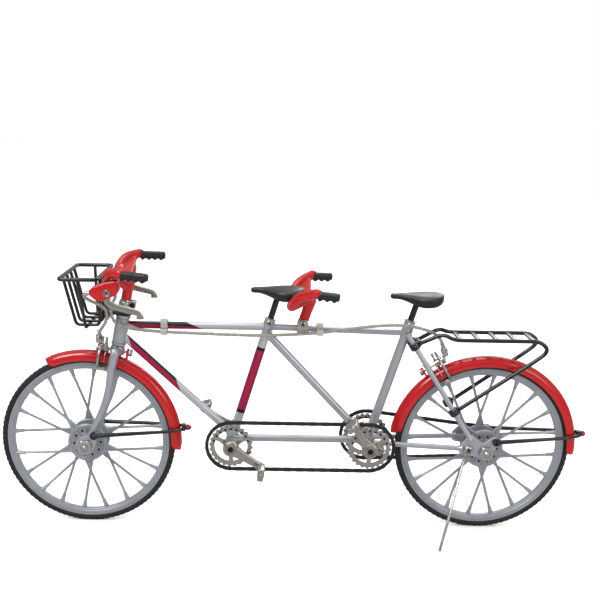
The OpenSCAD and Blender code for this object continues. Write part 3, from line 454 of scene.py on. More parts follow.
def oblong(
    wide: float, high: float, ease: float, thick: float, axes: Array, origin: Array, edge: float = 0.12,
) -> Shape:
    """A plate with a rectangular outline of the given half width and half height."""
    return cut_plate([(-wide, -high), (wide, -high), (wide, high), (-wide, high)], ease, thick, axes, origin, edge)


def hoop(
    bore: float, shoulder: float, outer: float, flat: float, half: float, origin: Array, direction: Array,
    sides: int, swell: Optional[Callable[[Array, Array], Array]] = None,
) -> Shape:
    """A round band: its outer radius runs flat to each side and falls to the shoulder at its half width."""
    section = [(bore, -half), (shoulder, -half), (outer, -flat), (outer, flat), (shoulder, half), (bore, half)]
    return ringed(section, origin, direction, sides, swell)


IN_PLANE = np.array([[1.0, 0, 0], [0, 0, 1.0], [0, -1.0, 0]])


# --- finishes


def linear(hex_colour: str) -> tuple[float, float, float, float]:
    """An sRGB hex colour as the linear colour that the shader takes."""
    c = np.array([int(hex_colour[i : i + 2], 16) for i in (1, 3, 5)]) / 255
    c = np.where(c <= 0.04045, c / 12.92, ((c + 0.055) / 1.055) ** 2.4)
    return (*map(float, c), 1.0)


def add(tree: Tree, kind: str, values: Optional[dict] = None, **settings: object) -> bpy.types.Node:
    """Adds a shader node.

    Args:
        tree: the material's node tree.
        kind: the node's type name without the ShaderNode prefix.
        values: for each input name or number, a value, or an output socket that is linked to it.
        settings: the node's own attributes.

    Returns:
        The node.
    """
    node = tree.nodes.new("ShaderNode" + kind)
    for name, value in settings.items():
        setattr(node, name, value)
    for key, value in (values or {}).items():
        if isinstance(value, Socket):
            tree.links.new(value, node.inputs[key])
        else:
            node.inputs[key].default_value = value
    return node


def maths(tree: Tree, operation: str, *values: float | Socket) -> Socket:
    """The output of a math node with the given inputs."""
    return add(tree, "Math", dict(enumerate(values)), operation=operation).outputs[0]


@dataclass(frozen=True)
class Finish:
    """A material: what it is made of and how its surface was made.

    Attributes:
        name: the real material and process.
        slot: the record's material slot.
        colour: sRGB hex of the surface.
        shade: sRGB hex that the colour drifts to, in patches of the mottle size.
        metallic, roughness, ior, coat, transmission: the shader's own numbers.
        rough_spread: how far the roughness drifts up and down.
        grain: size of the surface grain in millimetres.
        depth: depth of that grain in millimetres.
        mottle: size of the colour patches in millimetres.
    """

    name: str
    slot: str
    colour: str
    shade: str
    metallic: float = 0.0
    roughness: float = 0.4
    ior: float = 1.5
    coat: float = 0.0
    transmission: float = 0.0
    subsurface: float = 0.0
    rough_spread: float = 0.06
    grain: float = 0.5
    depth: float = 0.01
    mottle: float = 6.0

    def colour_of(self, tree: Tree, place: Socket) -> Socket:
        """The base colour: it drifts between colour and shade in soft patches."""
        patch = add(tree, "TexNoise", {"Vector": place, "Scale": 1 / (self.mottle * MM), "Detail": 3.0})
        mix = add(tree, "Mix", {"Factor": patch.outputs["Fac"]}, data_type="RGBA")
        mix.inputs[6].default_value = linear(self.colour)
        mix.inputs[7].default_value = linear(self.shade)
        return mix.outputs[2]

    def relief(self, tree: Tree, place: Socket) -> Socket:
        """The surface height: a fine noise of the grain size."""
        return add(tree, "TexNoise", {"Vector": place, "Scale": 1 / (self.grain * MM),
            "Detail": 4.0}).outputs["Fac"]

    def material(self) -> bpy.types.Material:
        """Makes the material once and returns it each time after that."""
        if self.name in bpy.data.materials:
            return bpy.data.materials[self.name]
        made = bpy.data.materials.new(self.name)
        made.use_nodes = True
        tree = made.node_tree
        shader = tree.nodes["Principled BSDF"]
        for socket, value in {
            "Metallic": self.metallic, "Coat Weight": self.coat, "Coat Roughness": 0.08,
            "Transmission Weight": self.transmission, "Subsurface Weight": self.subsurface,
            "Subsurface Scale": 2 * MM,
        }.items():
            shader.inputs[socket].default_value = value
        if not self.metallic:
            shader.inputs["IOR"].default_value = self.ior
        place = add(tree, "TexCoord").outputs["Object"]
        tree.links.new(self.colour_of(tree, place), shader.inputs["Base Color"])
        drift = add(tree, "TexNoise", {"Vector": place, "Scale": 1 / (2.5 * MM), "Detail": 5.0})
        spread = add(tree, "MapRange", {
            "Value": drift.outputs["Fac"], "From Min": 0.3, "From Max": 0.7,
            "To Min": max(self.roughness - self.rough_spread, 0.02), "To Max": self.roughness + self.rough_spread,
        })
        tree.links.new(spread.outputs["Result"], shader.inputs["Roughness"])
        bump = add(tree, "Bump", {"Height": self.relief(tree, place), "Distance": self.depth * MM, "Strength": 1.0})
        tree.links.new(bump.outputs["Normal"], shader.inputs["Normal"])
        return made


@dataclass(frozen=True)
class BandedPaint(Finish):
    """Silver paint with printed bands, placed by the length along the tube and the height on it.

    Attributes:
        band: hex of the wide band.
        line: hex of the dark wedge and rings.
        start, end: where the band runs, in millimetres along the tube.
        slant: how far the band's ends lean over the height of the tube, in millimetres.
        wedge: height of the dark wedge at its thick end, as a share of the tube's height; 0 for none.
        rings: width of the dark rings at both ends of the band, in millimetres.
        around: the way round the tube, in millimetres.
    """

    band: str = "#9A1240"
    line: str = "#141318"
    start: float = 0.0
    end: float = 10.0
    slant: float = 0.0
    wedge: float = 0.0
    rings: float = 0.0
    around: float = 9.0

    def colour_of(self, tree: Tree, place: Socket) -> Socket:
        """The paint, covered by the band where the length lies between the ends, and by the wedge above it."""
        base = super().colour_of(tree, place)
        spot = add(tree, "SeparateXYZ", {"Vector": add(tree, "TexCoord").outputs["UV"]})
        turn = maths(tree, "MULTIPLY", spot.outputs["Y"], math.tau / self.around)
        height = maths(tree, "COSINE", turn)
        lean = maths(tree, "MULTIPLY_ADD", height, self.slant, spot.outputs["X"])
        after = maths(tree, "GREATER_THAN", lean, self.start)
        before = maths(tree, "LESS_THAN", lean, self.end)
        inside = maths(tree, "MULTIPLY", after, before)
        banded = self.over(tree, base, inside, self.band)
        if self.wedge:
            share = add(tree, "MapRange", {
                "Value": lean, "From Min": self.start, "From Max": self.end, "To Min": 0.6,
                "To Max": 1 - 2 * self.wedge,
            }).outputs["Result"]
            above = maths(tree, "GREATER_THAN", height, share)
            banded = self.over(tree, banded, maths(tree, "MULTIPLY", above, inside), self.line)
        if self.rings:
            for edge in (self.start, self.end):
                near = maths(tree, "COMPARE", lean, edge, self.rings / 2)
                banded = self.over(tree, banded, near, self.line)
        return banded

    def over(
        self, tree: Tree, under: Socket, where: Socket, hex_colour: str,
    ) -> Socket:
        """The colour under, covered by another where the mask is one."""
        mix = add(tree, "Mix", {"Factor": where}, data_type="RGBA")
        tree.links.new(under, mix.inputs[6])
        mix.inputs[7].default_value = linear(hex_colour)
        return mix.outputs[2]


@dataclass(frozen=True)
class StrandSleeve(Finish):
    """Clear sleeve over a twisted wire: slanted stripes by the length along and the way round."""

    strand: float = 0.9

    def colour_of(self, tree: Tree, place: Socket) -> Socket:
        """Stripes: the sine of length plus way round, over the strand pitch, between shade and colour."""
        spot = add(tree, "SeparateXYZ", {"Vector": add(tree, "TexCoord").outputs["UV"]})
        slope = maths(tree, "ADD", spot.outputs["X"], spot.outputs["Y"])
        phase = maths(tree, "MULTIPLY", slope, math.tau / self.strand)
        wave = add(tree, "MapRange", {
            "Value": maths(tree, "SINE", phase), "From Min": -1.0,
        })
        mix = add(tree, "Mix", {"Factor": wave.outputs["Result"]}, data_type="RGBA")
        mix.inputs[6].default_value = linear(self.shade)
        mix.inputs[7].default_value = linear(self.colour)
        return mix.outputs[2]


# Aluminium flake in clear lacquer over cast zinc: a satin sheen with a slight orange peel.
SILVER = Finish(
    "satin_silver_lacquer_on_zinc", "silver_paint", "#B4B6BB", "#A6A8AE", metallic=0.75, roughness=0.36,
    rough_spread=0.05, coat=0.25, grain=0.9, depth=0.012, mottle=4.0,
)
# Printed film under the same lacquer.
PRINTED = BandedPaint(
    "printed_top_tube_lacquer", "silver_paint", "#B4B6BB", "#A6A8AE", metallic=0.55, roughness=0.34, coat=0.3,
    grain=0.9, depth=0.01,
)
TOP_BAND = replace(PRINTED, start=4.0, end=28.0, slant=3.4, wedge=0.72, around=8.8)
DOWN_BAND = replace(
    PRINTED, name="printed_down_tube_lacquer", start=5.0, end=30.0, slant=2.6, wedge=0.3, around=9.4,
)
SEAT_BAND = replace(PRINTED, name="printed_seat_tube_lacquer", start=12.0, end=38.0, rings=1.3, around=11.0)
# Nickel-chrome plating on small zinc castings: bright, with soft waves from the casting.
CHROME = Finish(
    "bright_plated_zinc_casting", "bright_chrome", "#CFCEC9", "#B5B3AD", metallic=1.0, roughness=0.2,
    rough_spread=0.07, grain=0.7, depth=0.014, mottle=3.0,
)
# Warm satin nickel on levers and chainrings.
NICKEL = Finish(
    "warm_satin_nickel_plating", "bright_chrome", "#C3C0B9", "#A5A199", metallic=1.0, roughness=0.28,
    rough_spread=0.07, grain=0.5, depth=0.014, mottle=2.5,
)
# Blackened steel of screw heads and rivets; the same dark colour is painted shade where it lies in cross recesses
# and chainring slots.
DARK_STEEL_AND_RECESS_SHADE = Finish(
    "blackened_steel_and_painted_recess_shade", "bright_chrome", "#2E2A27", "#1B1917", metallic=0.8, roughness=0.42, grain=0.3,
    depth=0.01, mottle=1.0,
)
# Injection-moulded ABS from a polished mould: deep red and glossy, with faint flow marks.
RED = Finish(
    "glossy_red_moulded_ABS", "red_plastic", "#A6070C", "#92060A", roughness=0.18, ior=1.5, coat=0.15,
    subsurface=0.04, rough_spread=0.05, grain=1.4, depth=0.012, mottle=5.0,
)
# Clear red acrylic.
LENS = Finish(
    "red_clear_acrylic", "red_lens", "#B0101A", "#7E070F", roughness=0.12, ior=1.49, transmission=0.35, coat=0.4,
    grain=0.6, depth=0.008,
)
# Black stoved enamel on steel wire: wet gloss with a little dust.
ENAMEL = Finish(
    "black_stoved_enamel_on_wire", "black_wire", "#0A0A0B", "#121213", roughness=0.27, ior=1.5, coat=0.35,
    grain=0.6, depth=0.01, mottle=2.0,
)
# Moulded black acetal chain: dull, with faint lighter patches at random.
CHAIN = Finish(
    "black_moulded_acetal_chain", "black_chain", "#0D0D0D", "#181817", roughness=0.48, grain=0.25, depth=0.012,
    mottle=1.2,
)
# ABS with a sprayed aluminium tint.
SPOKE = Finish(
    "aluminium_tinted_moulded_ABS", "grey_plastic", "#8E9196", "#7B7E83", metallic=0.35, roughness=0.38,
    rough_spread=0.07, grain=0.6, depth=0.014, mottle=3.0,
)
# Moulded rubber: matt, with a fine dusty grain.
TYRE = Finish(
    "matt_moulded_tyre_rubber", "tyre_rubber", "#0E0E0E", "#181716", roughness=0.7, grain=0.22, depth=0.02,
    mottle=3.0,
)
GRIP = Finish(
    "soft_moulded_grip_rubber", "grip_rubber", "#0C0C0C", "#141414", roughness=0.52, grain=0.2, depth=0.014,
    mottle=2.0,
)
# Satin black ABS with a spark-eroded mould grain.
SATIN_BLACK = Finish(
    "satin_black_moulded_ABS", "black_plastic", "#0D0D0E", "#151516", roughness=0.38, grain=0.28, depth=0.016,
    mottle=4.0,
)
# Unpigmented nylon: milky and half clear.
NYLON = Finish(
    "clear_moulded_nylon", "clear_plastic", "#DAD8D0", "#C8C5BB", roughness=0.24, ior=1.53, transmission=0.55,
    subsurface=0.1, grain=0.8, depth=0.01,
)
SLEEVE = StrandSleeve(
    "clear_PVC_sleeve_over_wire", "cable_sleeve", "#A39F97", "#6F6B65", roughness=0.26, ior=1.54,
    transmission=0.25, coat=0.3, grain=0.8, depth=0.008,
)


# --- making pieces


def mesh_of(name: str, shape: Shape, crease: float) -> bpy.types.Mesh:
    """Puts a shape's arrays into a new mesh, in metres, smooth up to the crease angle in degrees."""
    mesh = bpy.data.meshes.new(name)
    mesh.vertices.add(len(shape.points))
    mesh.vertices.foreach_set("co", (shape.points * MM).astype(np.float32).ravel())
    corners = np.concatenate([f.ravel() for f in shape.faces]).astype(np.int32)
    counts = np.concatenate([np.full(len(f), f.shape[1]) for f in shape.faces]).astype(np.int32)
    mesh.loops.add(len(corners))
    mesh.loops.foreach_set("vertex_index", corners)
    mesh.polygons.add(len(counts))
    mesh.polygons.foreach_set("loop_start", np.r_[0, np.cumsum(counts)[:-1]].astype(np.int32))
    layer = mesh.uv_layers.new(name="Lengths")
    layer.data.foreach_set("uv", np.concatenate([u.reshape(-1, 2) for u in shape.uvs]).astype(np.float32).ravel())
    mesh.update(calc_edges=True)
    mesh.polygons.foreach_set("use_smooth", np.ones(len(counts), dtype=bool))
    mesh.set_sharp_from_angle(angle=math.radians(crease))
    return mesh


def piece(
    name: str, shapes: Shape | Sequence[Shape], finish: Finish, body: str, stands_for: Sequence[str] = (),
    crease: float = 38.0, melt: float = 0.0,
) -> bpy.types.Object:
    """Makes one finished piece of the bicycle.

    Args:
        name: the piece's name.
        shapes: its closed surfaces.
        finish: its material.
        body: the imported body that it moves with.
        stands_for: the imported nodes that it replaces.
        crease: edges sharper than this stay sharp, in degrees.
        melt: voxel size at which the surfaces run together, in millimetres; 0 to leave them apart.

    Returns:
        The object.
    """
    shape = shapes if isinstance(shapes, Shape) else join(shapes)
    made = bpy.data.objects.new(name, mesh_of(name, shape, crease))
    bpy.context.scene.collection.objects.link(made)
    made.data.materials.append(finish.material())
    if melt:
        remesh = made.modifiers.new("run_together", "REMESH")
        remesh.mode, remesh.voxel_size, remesh.use_smooth_shade = "VOXEL", melt * MM, True
        soften = made.modifiers.new("soften", "SMOOTH")
        soften.factor, soften.iterations = 0.5, 6
    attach(made, body)
    if stands_for:
        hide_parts(*stands_for)
    LOG.info("%s: %d faces", name, len(made.data.polygons))
    return made


# --- frame


@dataclass
class TubeFrame:
    """The silver frame: tubes run into each other with small fillets, and printed bands lie on three of them."""

    head_r: float = 2.7
    down_r: float = 1.5
    top_r: float = 1.4
    rear_top_r: float = 1.2
    seat_r: float = 1.75
    stay_r: float = 1.0
    tube_len: float = 50.3
    front_top: float = 46.8
    rear_top: float = 45.3
    collar_h: float = 4.8
    fillet: float = 0.55

    def tube(
        self, a: Array, b: Array, radius: float, flare: tuple[float, float] = (1, 1), side: Array = Z_AXIS,
    ) -> Shape:
        """A tube from a to b; the radius grows by the fillet towards an end that is flared: r + f (1 - d/f)^2."""
        length = float(np.linalg.norm(b - a))
        near = np.array([0, 0.3, 0.6, 1.0, 1.5, 2.2])
        far = length - near[::-1]
        along = np.r_[near, np.linspace(2.2, length - 2.2, 12)[1:-1], far]
        path = a + np.outer(along / length, b - a)
        ends = np.clip(1 - along / 2.0, 0, 1) ** 2, np.clip(1 - (length - along) / 2.0, 0, 1) ** 2
        swell = flare[0] * ends[0] + flare[1] * ends[1]
        return sweep(path, circle(36), radius + self.fillet * swell, side=side)

    def head(self) -> Shape:
        """The head tube: a turned sleeve with a bead at each end and a groove beside it."""
        foot, top = AT.steer(72.676), AT.steer(84.554)
        length = float(np.linalg.norm(top - foot))
        r = self.head_r
        profile = [
            (0, 0), (r - 0.25, 0), (r + 0.05, 0.15), (r + 0.15, 0.5), (r + 0.05, 0.95), (r - 0.25, 1.1),
            (r - 0.25, 1.35),
            (r - 0.05, 1.5), (r - 0.05, length - 1.5), (r - 0.25, length - 1.35), (r - 0.25, length - 1.1),
            (r + 0.05, length - 0.95), (r + 0.15, length - 0.5), (r + 0.05, length - 0.15), (r - 0.25, length),
            (0, length),
        ]
        return turned(profile, foot, AT.steer_up, 48)

    def collar(self, spindle: Array) -> Shape:
        """The clamp band at the top of a seat tube: a turned ring with eased edges and a slot bead."""
        r = self.seat_r + 0.4
        h = self.collar_h
        profile = [
            (0, 0), (r - 0.4, 0), (r - 0.15, 0.08), (r, 0.35), (r, h - 1.2), (r - 0.18, h - 1.05),
            (r - 0.18, h - 0.85), (r, h - 0.7), (r, h - 0.25), (r - 0.25, h), (1.3, h), (1.3, h - 0.4), (0, h - 0.4),
        ]
        return turned(profile, AT.seat(spindle, self.tube_len - h), AT.seat_up, 44)

    def shell(self, spindle: Array) -> Shape:
        """A spindle shell across the frame with turned lips."""
        r, h = 2.5, 4.2
        profile = [
            (0, -h), (r - 0.5, -h), (r - 0.1, -h + 0.15), (r, -h + 0.5), (r - 0.05, -h + 1.1), (r - 0.15, -h + 1.3),
            (r - 0.15, h - 1.3), (r - 0.05, h - 1.1), (r, h - 0.5), (r - 0.1, h - 0.15), (r - 0.5, h), (0, h),
        ]
        return turned(profile, spindle, Y_AXIS, 44)

    def dropout(self) -> Shape:
        """The rear end plate on the right: one rounded outline round the axle, the stand, the stay and the
        eyelet.
        """
        outline = [
            (-10.6, 0.2), (-10.3, 3.0), (-8.0, 5.3), (-6.0, 7.0), (-4.6, 6.4), (-1.5, 3.6), (1.6, 5.8), (3.6, 6.3),
            (5.1, 5.0), (4.4, 3.0), (3.1, 0.6), (2.2, -2.4), (0, -3.2), (-3.2, -1.9), (-6.0, -1.2), (-9.0, -1.0),
        ]
        return slab(soft_outline(outline, 1.2), 1.0, IN_PLANE, AT.rear_hub + vec(0, 7.6, 0), 0.2)

    def build(self) -> None:
        """Makes the frame's pieces."""
        front, rear = AT.front_spindle, AT.rear_spindle
        front_top, rear_top = AT.seat(front, self.front_top), AT.seat(rear, self.rear_top)
        top_foot = AT.steer(80.63)
        piece("head_tube_sleeve", self.head(), SILVER, "frame", ["head_tube"])
        piece("top_tube_front", self.tube(top_foot, front_top, self.top_r), TOP_BAND, "frame", ["top_tube"])
        piece("top_tube_rear", self.tube(front_top, rear_top, self.rear_top_r), SILVER, "frame")
        down = self.tube(AT.steer(77.29), front + vec(0.6, 0, 1.2), self.down_r)
        piece("down_tube_printed", down, DOWN_BAND, "frame", ["down_tube"])
        seat_band = self.tube(front, AT.seat(front, self.tube_len - 1), self.seat_r, (1, 0), X_AXIS)
        piece("front_seat_tube_printed", seat_band, SEAT_BAND, "frame", ["front_seat_tube"])
        piece("front_seat_collar", self.collar(front), SILVER, "frame")
        piece(
            "rear_seat_tube_body",
            [self.tube(rear, AT.seat(rear, self.tube_len - 1), self.seat_r, (1, 0), X_AXIS), self.collar(rear)],
            SILVER, "frame", ["rear_seat_tube"],
        )
        piece(
            "diagonal_tube_body", self.tube(AT.seat(front, self.front_top - 2.2), rear,
                self.down_r), SILVER, "frame",
            ["diagonal_tube"],
        )
        piece("boom_tube_body", self.tube(front, rear, self.top_r), SILVER, "frame", ["boom_tube"])
        piece("spindle_shell_pair", [self.shell(front), self.shell(rear)], SILVER, "frame", ["spindle_shells"])
        stay = self.tube(rear + vec(0.8, 3.2, 0), vec(AT.rear_hub[0] - 9.0, 7.4, AT.stand_pivot[2]), self.stay_r)
        piece("chain_stay_pair", [both(stay), both(self.dropout())], SILVER, "frame", ["chain_stays"])
        self.seat_stays(rear)

    def seat_stays(self, rear: Array) -> None:
        """The seat stays with their bridge and the lug behind the seat tube."""
        head = AT.seat(rear, self.rear_top + 0.2)
        foot = AT.rear_hub + vec(-6.2, 7.7, 5.4)
        run = self.tube(head + vec(0, 2.4, 0), foot, self.stay_r, (0.4, 1))
        bridge_at = head + 0.354 * (foot - head - vec(0, 7.7, 0)) * vec(1, 0, 1)
        half = 2.4 + 0.354 * 5.4
        bridge = self.tube(bridge_at - half * Y_AXIS, bridge_at + half * Y_AXIS, self.stay_r, (0.5, 0.5))
        lug_at = head + vec(0.9, 0, -0.8)
        lug = rod(line(lug_at - 2.9 * Y_AXIS, lug_at + 2.9 * Y_AXIS), 1.1, 28, 0.4)
        piece("seat_stay_pair", [both(run), bridge, lug], SILVER, "frame", ["seat_stays"])


@dataclass
class Screws:
    """Cross-head screws, hexagon nuts and axle ends."""

    nut_flat: float = 5.2
    nut_t: float = 1.6
    axle_half: float = 10.9

    @staticmethod
    def head(origin: Array, direction: Array, radius: float, height: float) -> Shape:
        """A pan head, turned: flat below, rounded over the top edge."""
        profile = [
            (0, 0), (radius * 0.96, 0), (radius, height * 0.2), (radius * 0.97, height * 0.5),
            (radius * 0.85, height * 0.8), (radius * 0.62, height * 0.96), (radius * 0.3, height), (0, height),
        ]
        return turned(profile, origin, direction, 28)

    @staticmethod
    def cross(origin: Array, direction: Array, radius: float, height: float) -> Shape:
        """The cross recess as painted shade: four dark tapered arms that lie just over the head's top."""
        arm = np.array([
            (-0.16, -0.7), (0.16, -0.7), (0.2, -0.2), (0.7, -0.16), (0.7, 0.16), (0.2, 0.2),
            (0.16, 0.7), (-0.16, 0.7), (-0.2, 0.2), (-0.7, 0.16), (-0.7, -0.16), (-0.2, -0.2),
        ]) * radius
        axes = axes_along(direction, unit(X_AXIS + Z_AXIS * 0.6))
        return slab(arm, 0.12, axes, origin + unit(direction) * (height - 0.02), 0.03)

    @staticmethod
    def nut(origin: Array, direction: Array, across: float, height: float) -> Shape:
        """A hexagon nut: the smaller of a chamfered turning and a hexagon."""
        r = across / 2 / math.cos(math.pi / 6)
        profile = [
            (0, 0), (across / 2 * 0.98, 0), (r * 1.01, height * 0.16), (r * 1.01, height * 0.8),
            (across / 2 * 0.98, height), (across * 0.3, height), (across * 0.28, height * 0.9), (0, height * 0.9),
        ]
        return turned(profile, origin, direction, 72, hexagon(across))

    def axle(self, hub: Array, body: str, node: str) -> None:
        """A wheel axle: threaded end, nut, washer and rounded tip on each side."""
        tip = self.axle_half
        parts = []
        for side in Side:
            s = float(side.value)
            out = s * Y_AXIS
            at = hub + out * (tip - 1.2 - self.nut_t)
            parts.append(self.nut(at, out, self.nut_flat, self.nut_t))
            washer = [(0, 0), (2.55, 0), (2.75, 0.1), (2.75, 0.24), (0, 0.26)]
            parts.append(turned(washer, at - out * 0.02, out, 40))
            turns = np.arange(0, 1.0, 0.1)
            thread = [(1.0 - 0.09 * (k % 2), self.nut_t + h) for k, h in enumerate(turns)]
            parts.append(turned([(0, 0), (0.9, 0), *thread, (0.8, tip - 8.1 - 0.12), (0.55, tip - 8.1),
                (0, tip - 8.1)], at, out, 28))
        parts.append(rod(line(hub - 8.6 * Y_AXIS, hub + 8.6 * Y_AXIS), 0.98, 28))
        piece(node + "_with_nuts", parts, CHROME, body, [node])

    def build(self) -> None:
        """Makes the axles and the frame's screws."""
        self.axle(AT.front_hub, "steering", "front_axle")
        self.axle(AT.rear_hub, "frame", "rear_axle")
        heads, marks = [], []
        for spindle in (AT.front_spindle, AT.rear_spindle):
            at = AT.seat(spindle, 50.3 - 1.6) + vec(0, -2.05, 0)
            heads.append(self.head(at, -Y_AXIS, 1.15, 0.75))
            marks.append(self.cross(at, -Y_AXIS, 1.0, 0.75))
            heads.append(self.nut(at + vec(0, 4.1, 0), Y_AXIS, 2.0, 0.6))
        stand = vec(AT.stand_pivot[0], -9.35, AT.stand_pivot[2])
        heads.append(self.head(stand, -Y_AXIS, 1.7, 1.0))
        marks.append(self.cross(stand, -Y_AXIS, 1.5, 1.0))
        heads.append(rod(line(stand, stand + vec(0, 2.2, 0)), 0.78, 24))
        piece("frame_screw_heads", heads, CHROME, "frame", ["frame_screws"])
        # The dark cross marks are painted shade in the screw recesses.
        piece("frame_screw_recess_shade", marks, DARK_STEEL_AND_RECESS_SHADE, "frame")


# --- wheels


@dataclass
class MouldedWheel:
    """A moulded wheel: stepped rim, crossed spokes with nipples, hub with bosses, and a treaded tyre."""

    hub: Array
    body: str
    prefix: str
    rim_out: float = 31.8
    rim_in: float = 29.1
    half: float = 1.5
    spoke_r: float = 0.52
    pairs: int = 10
    flange_r: float = 7.6
    flange_y: float = 3.2
    knobs: int = 96
    start: float = 93.0

    def around(self, points: Array) -> Array:
        """Points given as (radius direction X, tangent Z, across Y) of the wheel, placed at its hub."""
        return points @ np.array([[1.0, 0, 0], [0, 0, 1.0], [0, 1.0, 0]]) + self.hub

    def rim(self) -> Shape:
        """The rim: a channel with a stepped lip and a groove, carried round the axle."""
        i, o, h = self.rim_in, self.rim_out, self.half
        right = [
            (i, 0), (i, h - 0.75), (i + 0.25, h - 0.5), (i + 0.75, h - 0.35), (i + 0.95, h - 0.1), (i + 1.15, h),
            (i + 1.5, h), (i + 1.62, h - 0.16), (i + 1.78, h - 0.16), (i + 1.9, h), (o - 0.25, h), (o, h - 0.25),
        ]
        section = right + [(r, -y) for r, y in right[::-1][:-1]]
        return ringed(section, self.hub, Y_AXIS, 144)

    def spokes(self) -> Shape:
        """The crossed pairs, every other one from the other flange, each with nipples at the rim."""
        half_pitch = math.radians(90 / self.pairs)
        shapes = []
        rim_at = (self.rim_in + 0.2) * np.array([math.cos(half_pitch), math.sin(half_pitch)])
        cross = self.rim_in * 0.41
        root_r = self.flange_r - 0.6
        slope = rim_at[1] / (rim_at[0] - cross)
        turn = [math.radians(self.start + 360 * k / self.pairs) for k in range(self.pairs)]
        for k, angle in enumerate(turn):
            side = 1.0 if k % 2 == 0 else -1.0
            y = side * (self.flange_y + 0.35)
            c, s = math.cos(angle), math.sin(angle)
            spin = np.array([[c, s, 0], [-s, c, 0], [0, 0, 1]])
            for hand in (1.0, -1.0):
                root = np.array([root_r, -hand * slope * (cross - root_r), y])
                tip = np.array([rim_at[0], hand * rim_at[1], 0.0])
                steps = np.array([0, 0.04, 0.5, 0.84, 0.86, 0.93, 0.955, 1.0])
                radius = np.array([1.35, 1.05, 1, 1, 1.35, 1.45, 1.75, 1.9]) * self.spoke_r
                path = root + steps[:, None] * (tip - root)
                shapes.append(sweep(self.around(path @ spin), circle(10), radius))
            web = soft_outline([(root_r - 0.3, -abs(slope) * (cross - root_r)), (cross + 0.8, 0),
                (root_r - 0.3, abs(slope) * (cross - root_r))], 0.4)
            eased = (0.15, -0.3), (0, -0.15), (0, 0.15), (0.15, 0.3)
            rows = [np.column_stack([inset(web, e), np.full(len(web), y * 0.86 + d)]) for e, d in eased]
            grid = np.stack([self.around(r @ spin) for r in rows])
            shapes.append(lattice(grid))
        return join(shapes)

    def hub_body(self, sprocket_side: bool) -> Shape:
        """The hub: a waisted barrel, two flanges with a raised lip, and a boss on the left face."""
        f = self.flange_r
        r_end = 6.2 if not sprocket_side else 5.25
        profile = [
            (0, -6.2), (1.9, -6.2), (2.2, -6.0), (2.5, -5.2), (2.6, -4.2), (3.9, -3.95), (4.2, -3.75),
            (f - 1.4, -3.75),
            (f - 1.15, -3.95), (f - 0.3, -3.95), (f, -3.7), (f, -2.8), (f - 0.3, -2.55), (3.2, -2.5), (2.6, -2.0),
            (2.4, 0), (2.6, 2.0), (3.2, 2.5), (f - 0.3, 2.55), (f, 2.8), (f, 3.7), (f - 0.3, 3.95),
            (f - 1.15, 3.95),
            (f - 1.4, 3.75), (4.2, 3.75), (3.9, 3.95), (2.6, 4.2), (2.5, 5.0), (2.2, r_end - 0.15), (1.9, r_end),
            (0, r_end),
        ]
        return turned(profile, self.hub, Y_AXIS, 80)

    def star(self) -> Shape:
        """Raised ribs on the left flange, from the boss towards each pair of spokes."""
        shapes = []
        for k in range(self.pairs):
            a = math.radians(self.start + 360 * k / self.pairs)
            out = swing(a)
            for side in (-1.0, 1.0):
                at = self.hub + side * 3.82 * Y_AXIS
                shapes.append(rod(line(at + out * 3.3, at + out * (self.flange_r - 1.3), 2), 0.32, 8, 0.15))
        return join(shapes)

    def bolts(self) -> Shape:
        """Small dark rivets round both flanges, halfway between the ribs."""
        shapes = []
        for k in range(self.pairs):
            a = math.radians(self.start + 360 * (k + 0.5) / self.pairs)
            out = swing(a)
            for side in (-1.0, 1.0):
                at = self.hub + out * 5.2 + side * 3.7 * Y_AXIS
                shapes.append(Screws.head(at, side * Y_AXIS, 0.48, 0.3))
        return join(shapes)

    def tyre(self) -> Shape:
        """The tyre: a round-shouldered section whose tread rises and falls round the wheel, in staggered blocks."""
        i, o, h = self.rim_out - 0.05, float(self.hub[2]), self.half
        right = [
            (i, h - 0.35), (i + 0.25, h - 0.12), (i + 0.7, h + 0.0), (i + 0.85, h - 0.09), (i + 1.0, h - 0.02),
            (o - 0.75, h - 0.06),
            (o - 0.4, h - 0.2), (o - 0.12, h - 0.42), (o, h - 0.62), (o, 0.62), (o - 0.14, 0.52), (o - 0.14, 0.3),
            (o, 0.2),
        ]
        section = right + [(r, -y) for r, y in right[::-1]]
        limit = o - 0.45

        def tread(angle: Array, radius: Array) -> Array:
            """Square wave of the angle, which cuts the blocks 0.16 mm deep near the tread and less on the wall."""
            wave = np.sign(np.sin(angle * self.knobs + 0.7))
            return np.where((wave < 0) & (radius > limit), -0.16, 0.0)

        return ringed(section, self.hub, Y_AXIS, self.knobs * 4, tread)

    def build(self, sprocket_side: bool) -> None:
        """Makes the wheel's pieces."""
        parts = [self.rim(), self.spokes(), self.hub_body(sprocket_side), self.star()]
        piece(self.prefix + "_wheel_moulding", parts, SPOKE, self.body, [self.prefix + "_wheel"], crease=32)
        piece(self.prefix + "_hub_rivets", self.bolts(), DARK_STEEL_AND_RECESS_SHADE, self.body)
        piece(self.prefix + "_tyre_treaded", self.tyre(), TYRE, self.body, [self.prefix + "_tyre"], crease=30)


# --- fork, fenders, reflectors


